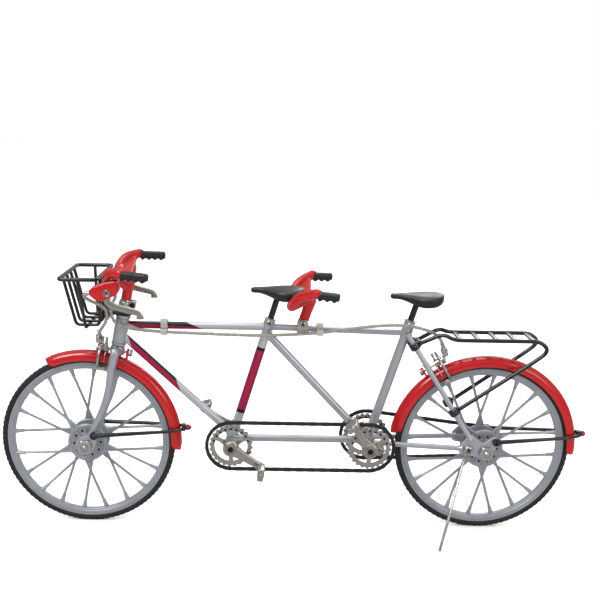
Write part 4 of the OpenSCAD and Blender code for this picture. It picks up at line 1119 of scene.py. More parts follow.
@dataclass
class Fork:
    """The fork: a crown barrel, two tapered blades that sweep forward, and flat end plates with eyelets."""

    blade_y: float = 5.0
    drop_y: float = 7.6

    def blade(self) -> Shape:
        """One blade: a circle carried down a smooth curve while its radius falls from 1.75 to 0.95."""
        crown = AT.steer(70.42)
        route = smooth([
            crown + vec(-0.4, self.blade_y - 1.0, 1.0), crown + vec(-0.4, self.blade_y,
                -0.6), AT.steer(63.5) + vec(-0.4, self.blade_y + 0.4, 0),
            AT.steer(56) + vec(-0.1, self.blade_y + 0.9, 0), AT.front_hub + vec(6.9, self.drop_y - 0.9, 14.6),
            AT.front_hub + vec(3.4, self.drop_y - 0.2, 7.4), AT.front_hub + vec(1.4, self.drop_y, 3.0),
        ], 6)
        share = np.linspace(0, 1, len(route))
        return sweep(route, circle(28), 1.78 - 0.83 * share**1.2)

    def plate(self) -> Shape:
        """The end plate on the right, with the stay's eyelet behind the axle."""
        outline = [(-3.2, -2.2), (-3.9, 0.4), (-2.6, 3.2), (0.4, 4.6), (2.4, 6.0), (3.9, 6.3), (5.1, 4.9),
            (4.4, 2.6), (3.6, -0.6), (1.8, -3.4), (-1.2, -3.7)]
        return slab(soft_outline(outline, 1.4), 1.0, IN_PLANE, AT.front_hub + vec(0, self.drop_y, 0), 0.2)

    def build(self) -> None:
        """Makes the fork."""
        lower, upper = AT.steer(69.0), AT.steer(72.4)
        length = float(np.linalg.norm(upper - lower))
        crown = turned([
            (0, 0), (2.2, 0), (2.6, 0.2), (2.85, 0.7), (2.9, 1.5), (2.7, 2.2), (2.7, length - 0.5),
            (2.55, length - 0.35), (2.55, length), (0, length),
        ], lower, AT.steer_up, 44)
        bar_at = AT.steer(70.42)
        bar = rod(line(bar_at - 5.6 * Y_AXIS, bar_at + 5.6 * Y_AXIS, 3), 1.75, 28, 0.9)
        steerer = rod(line(AT.steer(72), AT.steer(90.0)), 1.58, 28)
        piece("fork_casting", [both(self.blade()), both(self.plate()), crown, bar], SILVER, "steering", ["fork"],
            melt=0.16, crease=60)
        piece("steerer_tube", steerer, CHROME, "steering")


@dataclass
class Fender:
    """A glossy fender: rolled edges, rounded ends, its wire stays, tab, stud and reflector."""

    hub: Array
    body: str
    prefix: str
    start: float
    end: float
    crown_r: float = 36.5
    half: float = 2.8
    skirt_r: float = 32.6
    wall: float = 0.6
    stud_rise: float = 5.7

    def shell(self) -> Shape:
        """The blade: a half-round section with rolled edges; its half-width and depth shrink as a quarter ellipse
        near both ends.
        """
        n = 160
        angle = np.radians(np.linspace(self.start, self.end, n))
        travel = np.minimum(angle - angle[0], angle[-1] - angle) * self.crown_r
        taper = np.sqrt(np.clip(1 - (1 - np.clip(travel / 3.4, 0, 1)) ** 2, 0.0, 1))
        turn = np.radians(np.linspace(-90, 90, 15))
        base = self.crown_r - self.half
        bead = [(self.skirt_r + 0.15, 1.0), (self.skirt_r, 0.93), (self.skirt_r + 0.1, 0.82),
            (self.skirt_r + 0.35, 0.79)]
        outer = np.column_stack([base + self.half * np.cos(turn), np.sin(turn) * self.half])
        inner_r = self.half - self.wall
        inner = np.column_stack([base + inner_r * np.cos(turn[::-1]), np.sin(turn[::-1]) * inner_r])
        right_bead = np.array([(r, s * self.half) for r, s in bead])
        left_bead = right_bead[::-1] * np.array([1, -1])
        section = np.vstack([outer, right_bead, inner, left_bead])
        width = 0.12 + 0.88 * taper
        drop = section[:, 0] - self.crown_r
        radius = self.crown_r - 0.35 * (1 - taper)[:, None] + drop[None] * (0.25 + 0.75 * taper)[:, None]
        across = section[None, :, 1] * width[:, None]
        grid = np.stack([radius * np.cos(angle)[:, None], across, radius * np.sin(angle)[:, None]], axis=2)
        return lattice(grid + self.hub)

    def ridge(self) -> Shape:
        """A low raised line along the crown."""
        angle = np.radians(np.linspace(self.start + 4, self.end - 4, 120))
        path = self.hub + np.stack([np.cos(angle), 0 * angle, np.sin(angle)], axis=1) * (self.crown_r - 0.18)
        return rod(path, 0.3, 10)

    def stays(self) -> Shape:
        """Wire stays: flattened eyes at the end plates, a bend beside the fender, and a joint at the stud."""
        h = self.hub
        route = bent([h + vec(3.6, 8.75, 4.6), h + vec(32.9, 4.5, 5.4), h + vec(37.4, 2.2, 5.6),
            h + vec(37.7, 0.2, 5.7)], 1.8, 6)
        share = np.linspace(0, 1, len(route))
        radius = np.where(share < 0.02, 0.9, 0.64)
        wire = rod(route, radius, 16, 0.2)
        eye = hoop(0.85, 1.5, 1.6, 0.3, 0.6, h + vec(3.6, 8.72, 4.6), Y_AXIS, 28)
        return both(join([wire, eye]))

    def stud(self) -> Shape:
        """The square block and neck behind the fender that holds the stays and the reflector."""
        at = self.hub + vec(self.crown_r + 0.1, 0, self.stud_rise)
        block = oblong(1.35, 1.35, 0.4, 1.5, axes_along(X_AXIS), at + vec(0.7, 0, 0), 0.2)
        neck = turned([(0, 0), (0.95, 0), (0.95, 1.4), (1.15, 1.7), (1.15, 2.1), (0, 2.1)], at, X_AXIS, 24)
        return join([block, neck])

    def reflector(self) -> Shape:
        """A small red dome with a flat back and a rim bead."""
        at = self.hub + vec(self.crown_r + 2.1, 0, self.stud_rise)
        turn = np.radians(np.linspace(0, 90, 9))
        dome = [(1.18 * math.cos(t), 0.35 + 1.4 * math.sin(t)) for t in turn]
        return turned([(0, 0), (1.0, 0), (1.18, 0.12), *dome[:-1], (0, 1.75)], at, X_AXIS, 32)

    def build(self, tab: Shape) -> None:
        """Makes the fender with its tab at the brake bolt, its stays, stud and reflector."""
        piece(self.prefix + "_fender_blade", [self.shell(), self.ridge(), tab], RED, self.body,
            [self.prefix + "_fender"], crease=50)
        piece(self.prefix + "_fender_wires", [self.stays(), self.stud()], ENAMEL, self.body,
            [self.prefix + "_fender_stays"])
        piece(self.prefix + "_reflector_dome", self.reflector(), LENS, self.body, [self.prefix + "_reflector"])


# --- handlebars


@dataclass
class Bars:
    """Both moulded handlebars with posts, arms, webs, grips, hoods and levers."""

    grip_dir: tuple[float, float, float] = (0.964, 0.26, -0.06)

    def arm(self, post_top: Array, elbow: Array, joint_at: Array) -> Shape:
        """An arching arm: an ellipse carried from the post over the elbow to the grip joint."""
        mid = (elbow + joint_at) / 2 + vec(-1.4, 0.4, 1.2)
        g = unit(vec(*self.grip_dir))
        route = smooth([post_top + vec(0, -1.0, -0.4), post_top + vec(0, 0.9, 0.3),
            (post_top + elbow) / 2 + vec(0.1, 0, 0.35), elbow, mid, joint_at - g * 0.6, joint_at + g * 0.3], 7)
        share = np.linspace(0, 1, len(route))
        size = 1.8 + 0.15 * np.sin(share * math.pi) ** 2
        size[-6:] = np.linspace(size[-6], 1.58, 6)
        return sweep(route, circle(22), np.column_stack([size, size * 0.95]), side=Z_AXIS)

    def web(self, post_top: Array, elbow: Array, drop: float) -> Shape:
        """The thin panel between post and arm, set back from both so that it reads as a recess."""
        corner = post_top + vec(-0.3, 1.1, -drop)
        across = unit(elbow - post_top)
        outline3 = [post_top + vec(0, 0.2, 0.4), elbow - across * 2.4, elbow - across * 3.6 + vec(0.4, 0, -0.6),
            (corner + elbow) / 2 + vec(0, -1.2, 0.4), corner, post_top + vec(0, 0.2, -drop - 0.6)]
        normal = unit(np.cross(elbow - post_top, Z_AXIS))
        axes = np.stack([across, np.cross(normal, across), normal])
        flat = (np.array(outline3) - post_top) @ axes.T
        return slab(soft_outline(flat[:, :2], 0.8), 1.1, axes, post_top, 0.25)

    def panel(self, post_top: Array, elbow: Array, joint_at: Array) -> Shape:
        """The flat panel that fills the arch between post, elbow and grip joint."""
        origin, far = post_top + vec(0, 0.5, -0.6), joint_at - 0.9 * unit(vec(*self.grip_dir))
        along = unit(far - origin)
        normal = unit(np.cross(along, elbow - origin))
        axes = np.stack([along, np.cross(normal, along), normal])
        flat = (np.array([origin, far, elbow]) - origin) @ axes.T
        return slab(soft_outline(flat[:, :2], 0.7), 1.5, axes, origin, 0.25)

    def grip(self, joint_at: Array, length: float) -> Shape:
        """A moulded grip: a rounded square in section, with finger waves in the lower half: r = r0 + a sin."""
        g = unit(vec(*self.grip_dir))
        n = 72
        t = np.linspace(0, 1, n)
        angle = np.linspace(0, math.tau, 40, endpoint=False)
        bumps = 4 if length > 9 else 3
        wave = 0.36 * np.sin(t * math.tau * bumps - 0.6)[:, None] * np.clip(-np.sin(angle), 0, 1)[None] ** 0.8
        square = (np.abs(np.cos(angle)) ** 3.2 + np.abs(np.sin(angle)) ** 3.2) ** (-1 / 3.2)
        flat_top = 1 - 0.14 * np.clip(np.sin(angle), 0, 1) ** 2
        radius = (1.72 * square * flat_top)[None] + wave - 0.06
        ends = np.minimum(1, np.minimum(0.86 + 6 * t, 0.8 + 4.5 * (1 - t)))
        collar = np.where(np.abs(t - 0.07) < 0.035, 0.12, 0.0)
        radius = radius * ends[:, None] + collar[:, None]
        side = unit(np.cross(Z_AXIS, g))
        up = np.cross(g, side)
        spot = joint_at + g * 0.12 - up * 0.34 + np.outer(t * (length - 0.15), g)
        around = np.cos(angle)[:, None] * side + np.sin(angle)[:, None] * up
        grid = spot[:, None] + radius[..., None] * around[None]
        return lattice(grid)

    def post(self, foot: Array, top: Array) -> Shape:
        """A post: round, and a little wider towards its top."""
        length = float(np.linalg.norm(top - foot))
        return turned([
            (0, 0), (1.8, 0), (1.95, 0.2), (1.95, length * 0.4), (2.15, length * 0.8), (2.2, length - 0.5),
            (1.9, length + 0.4), (1.2, length + 1.0), (0, length + 1.2),
        ], foot, top - foot, 36)

    def hood(self) -> Shape:
        """The brake hood on the right: a chunky block with eased edges and a stepped nose."""
        outline = [(-5.9, -0.9), (-5.7, 1.7), (-3.2, 2.9), (-0.4, 3.9), (3.6, 4.6), (4.3, 2.8), (4.2, 0.5),
            (3.1, -0.9), (0.4, -2.0), (-2.6, -3.3), (-4.8, -2.4)]
        block = slab(soft_outline(outline, 0.9), 4.4, IN_PLANE, AT.lever * vec(1, 1, 1), 0.75)
        nose = turned([(0, 0), (1.5, 0), (1.6, 0.25), (1.45, 1.2), (1.1, 1.5), (0, 1.5)],
            AT.lever + vec(-4.9, 0, -0.2), vec(-0.94, 0, -0.34), 24)
        return join([block, nose])

    def boss(self) -> tuple[Shape, Shape]:
        """The chrome ring and cross-head screw on both faces of a hood; the screw's cross recess is drawn as painted
        shade.
        """
        rings, marks = [], []
        for side in (-1.0, 1.0):
            at = AT.lever + side * vec(0, 2.15, 0)
            rings.append(ringed([(0.6, 0), (1.35, 0), (1.35, 0.3), (1.2, 0.5), (0.95, 0.5), (0.8, 0.3),
                (0.6, 0.25)], at, side * Y_AXIS, 36))
            rings.append(turned([(0, 0), (0.8, 0), (0.75, 0.32), (0.4, 0.42), (0, 0.44)], at, side * Y_AXIS, 24))
            marks.append(Screws.cross(at, side * Y_AXIS, 0.85, 0.47))
        return join(rings), join(marks)

    def lever(self, side: Side) -> Shape:
        """A brake lever: a flat oval carried along a curve from the pivot to a hooked, thicker tip."""
        at = AT.lever * vec(1, float(side.value), 1)
        route = smooth([
            at + vec(-0.6, 0, 1.0), at + vec(-0.5, 0, -1.2), at + vec(-0.2, 0, -3.2), at + vec(1.4, 0, -4.9),
            at + vec(5.8, 0, -6.2), at + vec(9.6, 0, -7.1), at + vec(11.2, 0, -8.1), at + vec(11.3, 0, -9.6),
        ], 7)
        share = np.linspace(0, 1, len(route))
        wide = 1.5 - 0.5 * share + 0.35 * np.exp(-((share - 0.96) / 0.06) ** 2)
        thick = np.full(len(route), 0.6)
        blade = sweep(route, circle(20), np.column_stack([wide, thick]), side=unit(vec(0.5, 0, 1)))
        barrel = rod(line(at - 1.0 * Y_AXIS, at + 1.0 * Y_AXIS), 1.25, 24, 0.2)
        return join([blade, barrel])

    def build(self) -> None:
        """Makes both bars with everything on them."""
        front_top = vec(-62.942, 0, 97.609)
        elbow, joint_at = vec(-68.942, 12.5, 100.009), vec(-62.182, 24.4, 104.154)
        foot = AT.steer(90.4)
        parts = [self.post(foot, front_top), both(self.arm(front_top, elbow, joint_at)),
            both(self.web(front_top, elbow, 5.2)), both(self.panel(front_top, elbow, joint_at))]
        piece("front_bar_moulding", parts, RED, "steering", ["front_handlebar"], melt=0.2, crease=60)
        piece("front_grip_pair", both(self.grip(joint_at, 10.0)), GRIP, "steering", ["front_grips"])
        rear_top = vec(5.533, 0, 91.658)
        rear_elbow, rear_joint = vec(-2.067, 7.7, 90.258), vec(6.914, 20.17, 97.226)
        rear_post = self.post(AT.stoker_pivot + vec(0.3, 0, 1.2), rear_top)
        eye = rod(line(AT.stoker_pivot - 1.5 * Y_AXIS, AT.stoker_pivot + 1.5 * Y_AXIS), 1.75, 28, 0.2)
        parts = [rear_post, eye, both(self.arm(rear_top, rear_elbow, rear_joint)),
            both(self.web(rear_top, rear_elbow, 3.6)), both(self.panel(rear_top, rear_elbow, rear_joint))]
        piece("rear_bar_moulding", parts, RED, "stoker_bar", ["rear_handlebar"], melt=0.2, crease=60)
        piece("rear_grip_pair", both(self.grip(rear_joint, 7.8)), GRIP, "stoker_bar", ["rear_grips"])
        piece("brake_hood_pair", both(self.hood()), RED, "steering", ["brake_hoods"], crease=50)
        rings, marks = self.boss()
        piece("brake_hood_bosses", both(rings), CHROME, "steering")
        # Painted shade in the cross recesses of the hood screws.
        piece("brake_hood_recess_shade", both(marks), DARK_STEEL_AND_RECESS_SHADE, "steering")
        piece("left_lever_casting", self.lever(Side.LEFT), NICKEL, "left_lever", ["left_brake_lever"])
        piece("right_lever_casting", self.lever(Side.RIGHT), NICKEL, "right_lever", ["right_brake_lever"])
        self.clamps()

    def clamps(self) -> None:
        """The stem clamp on the steerer and the clevis under the rear bar."""
        foot = AT.steer(86.35)
        ring = turned([
            (0, 0), (2.1, 0), (2.45, 0.25), (2.45, 0.9), (2.2, 1.1), (2.2, 1.4), (2.5, 1.6), (2.5, 3.1),
            (2.2, 3.3), (2.2, 3.6), (2.0, 4.15), (0, 4.15),
        ], foot, AT.steer_up, 40)
        across = np.cross(Y_AXIS, AT.steer_up)
        axes = np.stack([unit(across), AT.steer_up, unit(np.cross(across, AT.steer_up))])
        lug = cut_plate([(-1.2, -1.6), (1.3, -1.6), (1.3, 1.6), (-1.2, 1.6)], 0.5, 3.4, axes,
            foot + AT.steer_up * 2.1 + vec(2.7, 0, 0), 0.3)
        piece("stem_clamp_casting", [ring, lug], CHROME, "steering", ["stem_clamp"])
        bolt_at = foot + AT.steer_up * 2.1 + vec(2.9, -1.7, 0)
        piece("stem_clamp_bolt", [Screws.head(bolt_at, -Y_AXIS, 1.0, 0.7)], DARK_STEEL_AND_RECESS_SHADE, "steering")
        pivot = AT.stoker_pivot
        cheek = cut_plate([(-2.1, -2.9), (2.1, -2.9), (2.0, 0.6), (1.2, 1.8), (-1.2, 1.8), (-2.0, 0.6)], 0.7, 0.95,
            IN_PLANE, pivot + vec(0, 2.1, 0), 0.2)
        saddle_block = oblong(2.3, 2.6, 0.5, 1.5, np.eye(3), pivot + vec(0, 0, -2.6), 0.25)
        band = hoop(1.25, 1.85, 1.95, 1.5, 1.8, vec(pivot[0], 0, pivot[2] - 2.3), X_AXIS, 36)
        nut = Screws.nut(pivot + vec(0, 2.55, 0), Y_AXIS, 2.3, 0.7)
        head = Screws.head(pivot + vec(0, -2.55, 0), -Y_AXIS, 1.2, 0.75)
        piece("rear_bar_clevis", [both(cheek), saddle_block, band, nut, head], CHROME, "frame", ["rear_bar_clamp"])
        # Painted shade in the cross recess of the clevis screw head.
        piece("rear_bar_clevis_recess_shade", Screws.cross(pivot + vec(0, -2.55, 0), -Y_AXIS, 1.1, 0.75), DARK_STEEL_AND_RECESS_SHADE, "frame")


# --- basket and rack


@dataclass
class Basket:
    """The wire basket with its bracket on the headset."""

    half: float = 16.8
    front: float = -85.78
    back: float = -72.18
    top: float = 100.554
    foot: float = 82.554
    rib_step: float = 6.6
    wire_r: float = 0.6

    def build(self) -> None:
        """Makes the basket's wires and its bracket."""
        f, b, t, z, h = self.front, self.back, self.top, self.foot, self.half
        rim = bent([(b, -h, t), (b, h, t), (f, h, t), (f, -h, t)], 2.0, 8, loop=True)
        parts = [rod(rim, self.wire_r * 1.25, 20, loop=True)]
        rib = [(f, 0, t), (f + 4.4, 0, z), (b - 0.6, 0, z), (b, 0, t)]
        for k in range(4):
            y = (k - 1.5) * self.rib_step
            wire = bent(np.array(rib) + vec(0, y, 0), 1.6, 8)
            parts.append(rod(wire, self.wire_r, 18))
            parts += [self.weld(vec(f, y, t - 0.5)), self.weld(vec(b, y, t - 0.5)),
                self.weld(vec((f + b) / 2 + 1.4, y, z - 0.3), 0.75)]
        m, g = (f + b) / 2, h - 5.0
        side = bent([(m, -h, t), (m + 1.4, -g, z - 0.72), (m + 1.4, g, z - 0.72), (m, h, t)], 1.6, 8)
        parts.append(rod(side, self.wire_r, 18))
        parts += [self.weld(vec(m, s * h, t - 0.5)) for s in (-1, 1)]
        piece("basket_wirework", parts, ENAMEL, "steering", ["basket"])
        self.bracket()

    @staticmethod
    def weld(at: Array, size: float = 0.85) -> Shape:
        """A bead where two wires are joined: a small ball."""
        turn = np.radians(np.linspace(-90, 90, 9))
        return turned([(size * math.cos(a), size * math.sin(a)) for a in turn], at, Z_AXIS, 14)

    def bracket(self) -> None:
        """The tapered ring on the headset with its arm and the plate behind the basket."""
        base = AT.steer(84.9)
        ring = turned([(0, 0), (2.9, 0), (3.2, 0.2), (3.2, 0.75), (2.9, 1.2), (0, 1.2)], base, AT.steer_up, 40)
        arm = cut_plate([(self.back + 0.4, -3.3), (base[0], -3.0), (base[0] + 0.4, 3.0), (self.back + 0.4, 3.3)],
            0.8, 1.1, np.eye(3), vec(0, 0, base[2] + 0.6), 0.2)
        plate = oblong(4.1, 2.2, 0.8, 1.0, np.stack([Y_AXIS, Z_AXIS, X_AXIS]),
            vec(self.back + 1.1, 0, base[2] + 0.4), 0.2)
        screws = [Screws.head(vec(self.back + 1.5, y, base[2] + 0.4), X_AXIS, 0.8, 0.5) for y in (-2.6, 2.6)]
        piece("basket_bracket_casting", [ring, arm, plate, *screws], ENAMEL, "steering", ["basket_bracket"])


@dataclass
class Rack:
    """The wire rack: one rail with a looped tail on each side, flat deck bars, head bar and clamps."""

    half: float = 6.9
    wire_r: float = 0.8
    bars: int = 5
    front: float = 58.9
    end: float = 91.3
    top: float = 78.1

    def build(self) -> None:
        """Makes the rack."""
        stay_top = AT.seat(AT.rear_spindle, 45.5) + vec(0, 2.4, 0)
        stay_foot = AT.rear_hub + vec(-6.2, 7.8, 5.4)
        run = stay_foot - stay_top
        out = unit(vec(0.840958, 0, 0.541101))
        head, clamp = stay_top + 0.12 * run + 2.0 * out, stay_top + 0.74 * run + 2.0 * out
        kink = vec(self.front - 3.6, self.half - 2.2, self.top + 1.9)
        route = bent([
            head, kink, vec(self.front, self.half, self.top), vec(self.end, self.half, self.top),
            vec(self.end + 3.4, self.half, self.top - 3.6), vec(self.end - 1.4, self.half, self.top - 7.6), clamp,
        ], 3.0, 8)
        parts = [both(rod(route, self.wire_r, 20, 0.3))]
        step = (self.end - self.front - 5) / (self.bars - 1)
        for k in range(self.bars):
            x = self.front + 2.6 + k * step
            bar = cut_plate([(-0.8, -self.half - 0.35), (0.8, -self.half - 0.35), (0.8, self.half + 0.35),
                (-0.8, self.half + 0.35)], 0.35, 0.9, np.eye(3), vec(x, 0, self.top), 0.22)
            parts.append(bar)
            parts += [Basket.weld(vec(x, s * self.half, self.top), 0.92) for s in (-1, 1)]
        parts.append(rod(line(head * vec(1, -1, 1), head), 1.15, 20, 0.2))
        for t in (0.12, 0.74):
            at = stay_top + t * run
            band = hoop(1.05, 1.8, 2.0, 1.05, 1.3, at, run, 30)
            bolt = turned([(0, 0), (0.75, 0), (0.75, 0.4), (0.5, 0.6), (0, 0.6)], at + vec(0, 1.85, 0), Y_AXIS, 18)
            parts.append(both(join([band, bolt])))
        piece("rack_wirework", parts, ENAMEL, "frame", ["rear_rack"])


# --- drive


@dataclass
class Chainring:
    """A toothed ring: a wide band, slots on its upper arc drawn as painted shade, spider arms and a boss.

    Attributes:
        centre: the spindle's middle.
        y: the plane of the ring.
        radius: outer radius over the teeth.
        teeth: number of teeth.
        arms: number of spider arms.
    """

    centre: Array
    y: float
    radius: float
    teeth: int
    arms: int = 3
    thick: float = 0.9

    def build(self) -> Shape:
        """The ring: teeth are a sharpened sine of the angle; three arms join the band to the boss."""
        at = self.centre * vec(1, 0, 1) + self.y * Y_AXIS
        r, t = self.radius, self.thick / 2
        teeth = self.teeth

        def tooth(angle: Array, radius: Array) -> Array:
            """Tooth height: the upper half of a sine, only near the rim."""
            wave = 0.4 * np.clip(np.sin(angle * teeth) * 1.5, -0.6, 0.75) - 0.3
            return np.where(radius > r - 0.3, wave, 0.0)

        outer = hoop(r - 2.1, r - 0.9, r, t * 0.45, t, at, Y_AXIS, teeth * 8, tooth)
        shapes = [outer]
        for k in range(self.arms):
            a = -math.pi / 2 + math.tau * k / self.arms
            out, along = swing(a), vec(-math.sin(a), 0, math.cos(a))
            outline = soft_outline([(1.6, -1.3), (r - 3.4, -0.75), (r - 1.2, -1.3), (r - 1.2, 1.3),
                (r - 3.4, 0.75), (1.6, 1.3)], 0.3)
            shapes.append(slab(outline, self.thick - 0.1, np.stack([out, along, np.cross(out, along)]), at, 0.15))
        boss = turned([
            (0, -t - 0.25), (2.2, -t - 0.25), (2.7, -t - 0.1), (3.0, -t), (3.0, t), (2.7, t + 0.1),
            (2.2, t + 0.25), (0, t + 0.25),
        ], at, Y_AXIS, 48)
        return join([*shapes, boss])

    def slots(self) -> Shape:
        """Painted shade of the slots pressed into both faces of the band's upper arc, drawn as dark slabs through
        the band.
        """
        at = self.centre * vec(1, 0, 1) + self.y * Y_AXIS
        marks = []
        for k in range(9):
            a = math.radians(18 + 18 * k)
            out, along = swing(a), vec(-math.sin(a), 0, math.cos(a))
            outline = soft_outline([(self.radius - 2.0, -0.5), (self.radius - 1.1, -0.35),
                (self.radius - 1.3, 0.5), (self.radius - 1.9, 0.6)], 0.2)
            marks.append(slab(outline, self.thick + 0.04, np.stack([out, along, np.cross(out, along)]), at, 0.0))
        return join(marks)


@dataclass
class Chain:
    """A closed chain round two wheels: side plates in the shape of an eight, with rollers between them."""

    first: Array
    first_r: float
    second: Array
    second_r: float
    y: float
    pitch: float = 2.3
    plate_h: float = 1.85

    def route(self) -> tuple[Array, Array]:
        """Points and directions of the chain's middle line: two straight runs tangent to two arcs, at equal
        pitch.
        """
        a, b = self.first[[0, 2]], self.second[[0, 2]]
        gap = b - a
        length = float(np.linalg.norm(gap))
        lean = math.asin((self.first_r - self.second_r) / length)
        base = math.atan2(gap[1], gap[0])
        up = base + math.pi / 2 - lean
        down = base - math.pi / 2 + lean
        arc_b = np.linspace(up, down, 60)
        arc_a = np.linspace(down, up - math.tau, 60)
        round_b = b + self.second_r * np.stack([np.cos(arc_b), np.sin(arc_b)], axis=1)
        round_a = a + self.first_r * np.stack([np.cos(arc_a), np.sin(arc_a)], axis=1)
        loop = np.vstack([round_b, round_a, round_b[:1]])
        run = np.r_[0, np.cumsum(np.linalg.norm(np.diff(loop, axis=0), axis=1))]
        count = int(round(run[-1] / self.pitch / 2)) * 2
        even = np.arange(count) * run[-1] / count
        flat = np.stack([np.interp(even, run, loop[:, i]) for i in (0, 1)], axis=1)
        spots = np.stack([flat[:, 0], np.full(count, self.y), flat[:, 1]], axis=1)
        return spots, np.roll(spots, -1, axis=0) - spots

    def build(self) -> Shape:
        """The links: outer and inner plate pairs in turn, and a roller pin at each joint."""
        spots, steps = self.route()
        turn = np.linspace(0, math.tau, 12, endpoint=False)
        shapes = []
        for k, (spot, step) in enumerate(zip(spots, steps)):
            reach_ = float(np.linalg.norm(step))
            along = step / reach_
            high = np.cross(along, Y_AXIS)
            half = self.plate_h / 2
            lobe = half * (0.68 + 0.32 * np.abs(np.cos(turn)))
            x = reach_ / 2 + np.cos(turn) * (reach_ / 2 + half * 0.9) * 0.98
            outline = np.stack([x, np.sin(turn) * lobe], axis=1)
            axes = np.stack([along, high, np.cross(along, high)])
            offset = 0.46 if k % 2 == 0 else 0.3
            for side in (-1.0, 1.0):
                shapes.append(slab(outline, 0.2, axes, spot + side * (offset - 0.02) * Y_AXIS, 0.05))
            shapes.append(sweep(line(spot - 0.56 * Y_AXIS, spot + 0.56 * Y_AXIS), circle(8) * 0.42))
        return join(shapes)


@dataclass
class Drive:
    """Cranks, chainrings, chains, sprocket and pedals."""

    side_y: float = -9.5
    drive_y: float = 5.8
    ring_r: float = 8.4
    drive_ring_r: float = 9.0
    sprocket_r: float = 5.2
    crank_in: float = 11.2
    crank_t: float = 2.4
    pedal_len: float = 7.0

    def crank(self, spindle: Array, far: Array, side: float) -> Shape:
        """A crank arm: a rounded, waisted outline from boss to pedal eye, thicker at the boss."""
        run = (far - spindle) * vec(1, 0, 1)
        length = float(np.linalg.norm(run))
        out = run / length
        across = np.cross(side * Y_AXIS, out)
        outline = soft_outline([
            (-2.6, -1.0), (-1.0, -2.6), (1.6, -2.3), (5.0, -1.65), (length - 2.2, -1.3), (length - 0.4, -1.6),
            (length + 1.3, -0.9),
            (length + 1.3, 0.9), (length - 0.4, 1.6), (length - 2.2, 1.3), (5.0, 1.65), (1.6, 2.3), (-1.0, 2.6),
            (-2.6, 1.0),
        ], 1.0)
        mid = side * (self.crank_in + self.crank_t / 2)
        arm = slab(outline, self.crank_t - 0.1, np.stack([out, across, np.cross(out, across)]),
            spindle * vec(1, 0, 1) + mid * Y_AXIS, 0.55)
        start = spindle * vec(1, 0, 1) + side * self.crank_in * Y_AXIS
        boss = turned([
            (0, 0), (2.6, 0), (2.95, 0.2), (3.0, 1.0), (2.95, 2.2), (2.7, 2.5), (2.1, 2.6), (2.0, 3.0), (1.7, 3.1),
            (1.5, 2.75), (0, 2.7),
        ], start, side * Y_AXIS, 40)
        eye = turned([
            (0, 0.1), (1.3, 0.1), (1.5, 0.35), (1.5, 2.1), (1.3, 2.45), (0.9, 2.5), (0, 2.5),
        ], far * vec(1, 0, 1) + side * self.crank_in * Y_AXIS, side * Y_AXIS, 32)
        return join([arm, boss, eye])

    def set_of(self, spindle: Array, left_pin: str, right_pin: str, body: str, node: str) -> None:
        """A crank pair on its spindle, with pedal pins and the dark screws in the bosses."""
        parts = [rod(line(spindle - 11.6 * Y_AXIS, spindle + 11.6 * Y_AXIS), 1.19, 28)]
        marks = []
        for name, side in ((left_pin, -1.0), (right_pin, 1.0)):
            far = joint(name)[0]
            parts.append(self.crank(spindle, far, side))
            tip = self.crank_in + self.crank_t + 0.8 + self.pedal_len
            flat = far * vec(1, 0, 1)
            parts.append(rod(line(flat + side * 13.0 * Y_AXIS, flat + side * (tip + 0.35) * Y_AXIS), 0.58, 20, 0.2))
            parts.append(turned([(0, 0), (1.0, 0), (1.0, 0.5), (0, 0.5)], flat + side * 13.6 * Y_AXIS,
                side * Y_AXIS, 24))
            at = spindle + side * (self.crank_in + 2.6) * Y_AXIS
            marks.append(Screws.head(at, side * Y_AXIS, 1.15, 0.45))
        piece(node + "_forged", parts, NICKEL, body, [node], crease=45)
        piece(node + "_boss_screws", marks, DARK_STEEL_AND_RECESS_SHADE, body)

    def pedal(self, pin: str, body: str, node: str, side: float, tilt: float) -> None:
        """A pedal: a rounded block round a barrel, with small studs and an end cap."""
        far = joint(pin)[0] * vec(1, 0, 1)
        mid = far + side * (self.crank_in + self.crank_t + 0.8 + self.pedal_len / 2) * Y_AXIS
        turn = math.radians(tilt)
        out = swing(turn)
        up = np.cross(out, Y_AXIS) * -1
        half = self.pedal_len / 2
        frame_axes = np.stack([out, Y_AXIS, np.cross(out, Y_AXIS)])
        outline = soft_outline([(-2.5, -half), (2.5, -half), (2.5, half), (-2.5, half)], 0.9)
        body_shape = slab(outline, 2.2, frame_axes, mid, 0.5)
        shapes = [body_shape]
        for row in (-1.0, 1.0):
            for k in range(4):
                for face in (-1.0, 1.0):
                    spot = mid + out * row * 1.65 + (k - 1.5) * 1.55 * Y_AXIS + face * 1.1 * up
                    shapes.append(turned([(0, -0.1), (0.36, -0.1), (0.3, 0.1), (0, 0.1)], spot, face * up, 10))
        barrel = rod(line(mid - (half + 0.02) * Y_AXIS, mid + (half + 0.02) * Y_AXIS), 1.28, 28, 0.25)
        cap = turned([(0, 0), (0.95, 0), (0.85, 0.22), (0, 0.26)], mid + side * half * Y_AXIS, side * Y_AXIS, 24)
        piece(node + "_block", [*shapes, barrel, cap], NICKEL, body, [node], crease=45)

    def sprocket(self) -> None:
        """The rear sprocket: a toothed disc with round holes read as dimples, and a splined boss."""
        at = AT.rear_hub + self.drive_y * Y_AXIS
        r = self.sprocket_r

        def tooth(angle: Array, radius: Array) -> Array:
            """Tooth height: a clipped sine, only near the rim."""
            return np.where(radius > r - 0.3, 0.55 * np.clip(np.sin(angle * 15) * 1.5, -0.6, 0.7) - 0.4, 0.0)

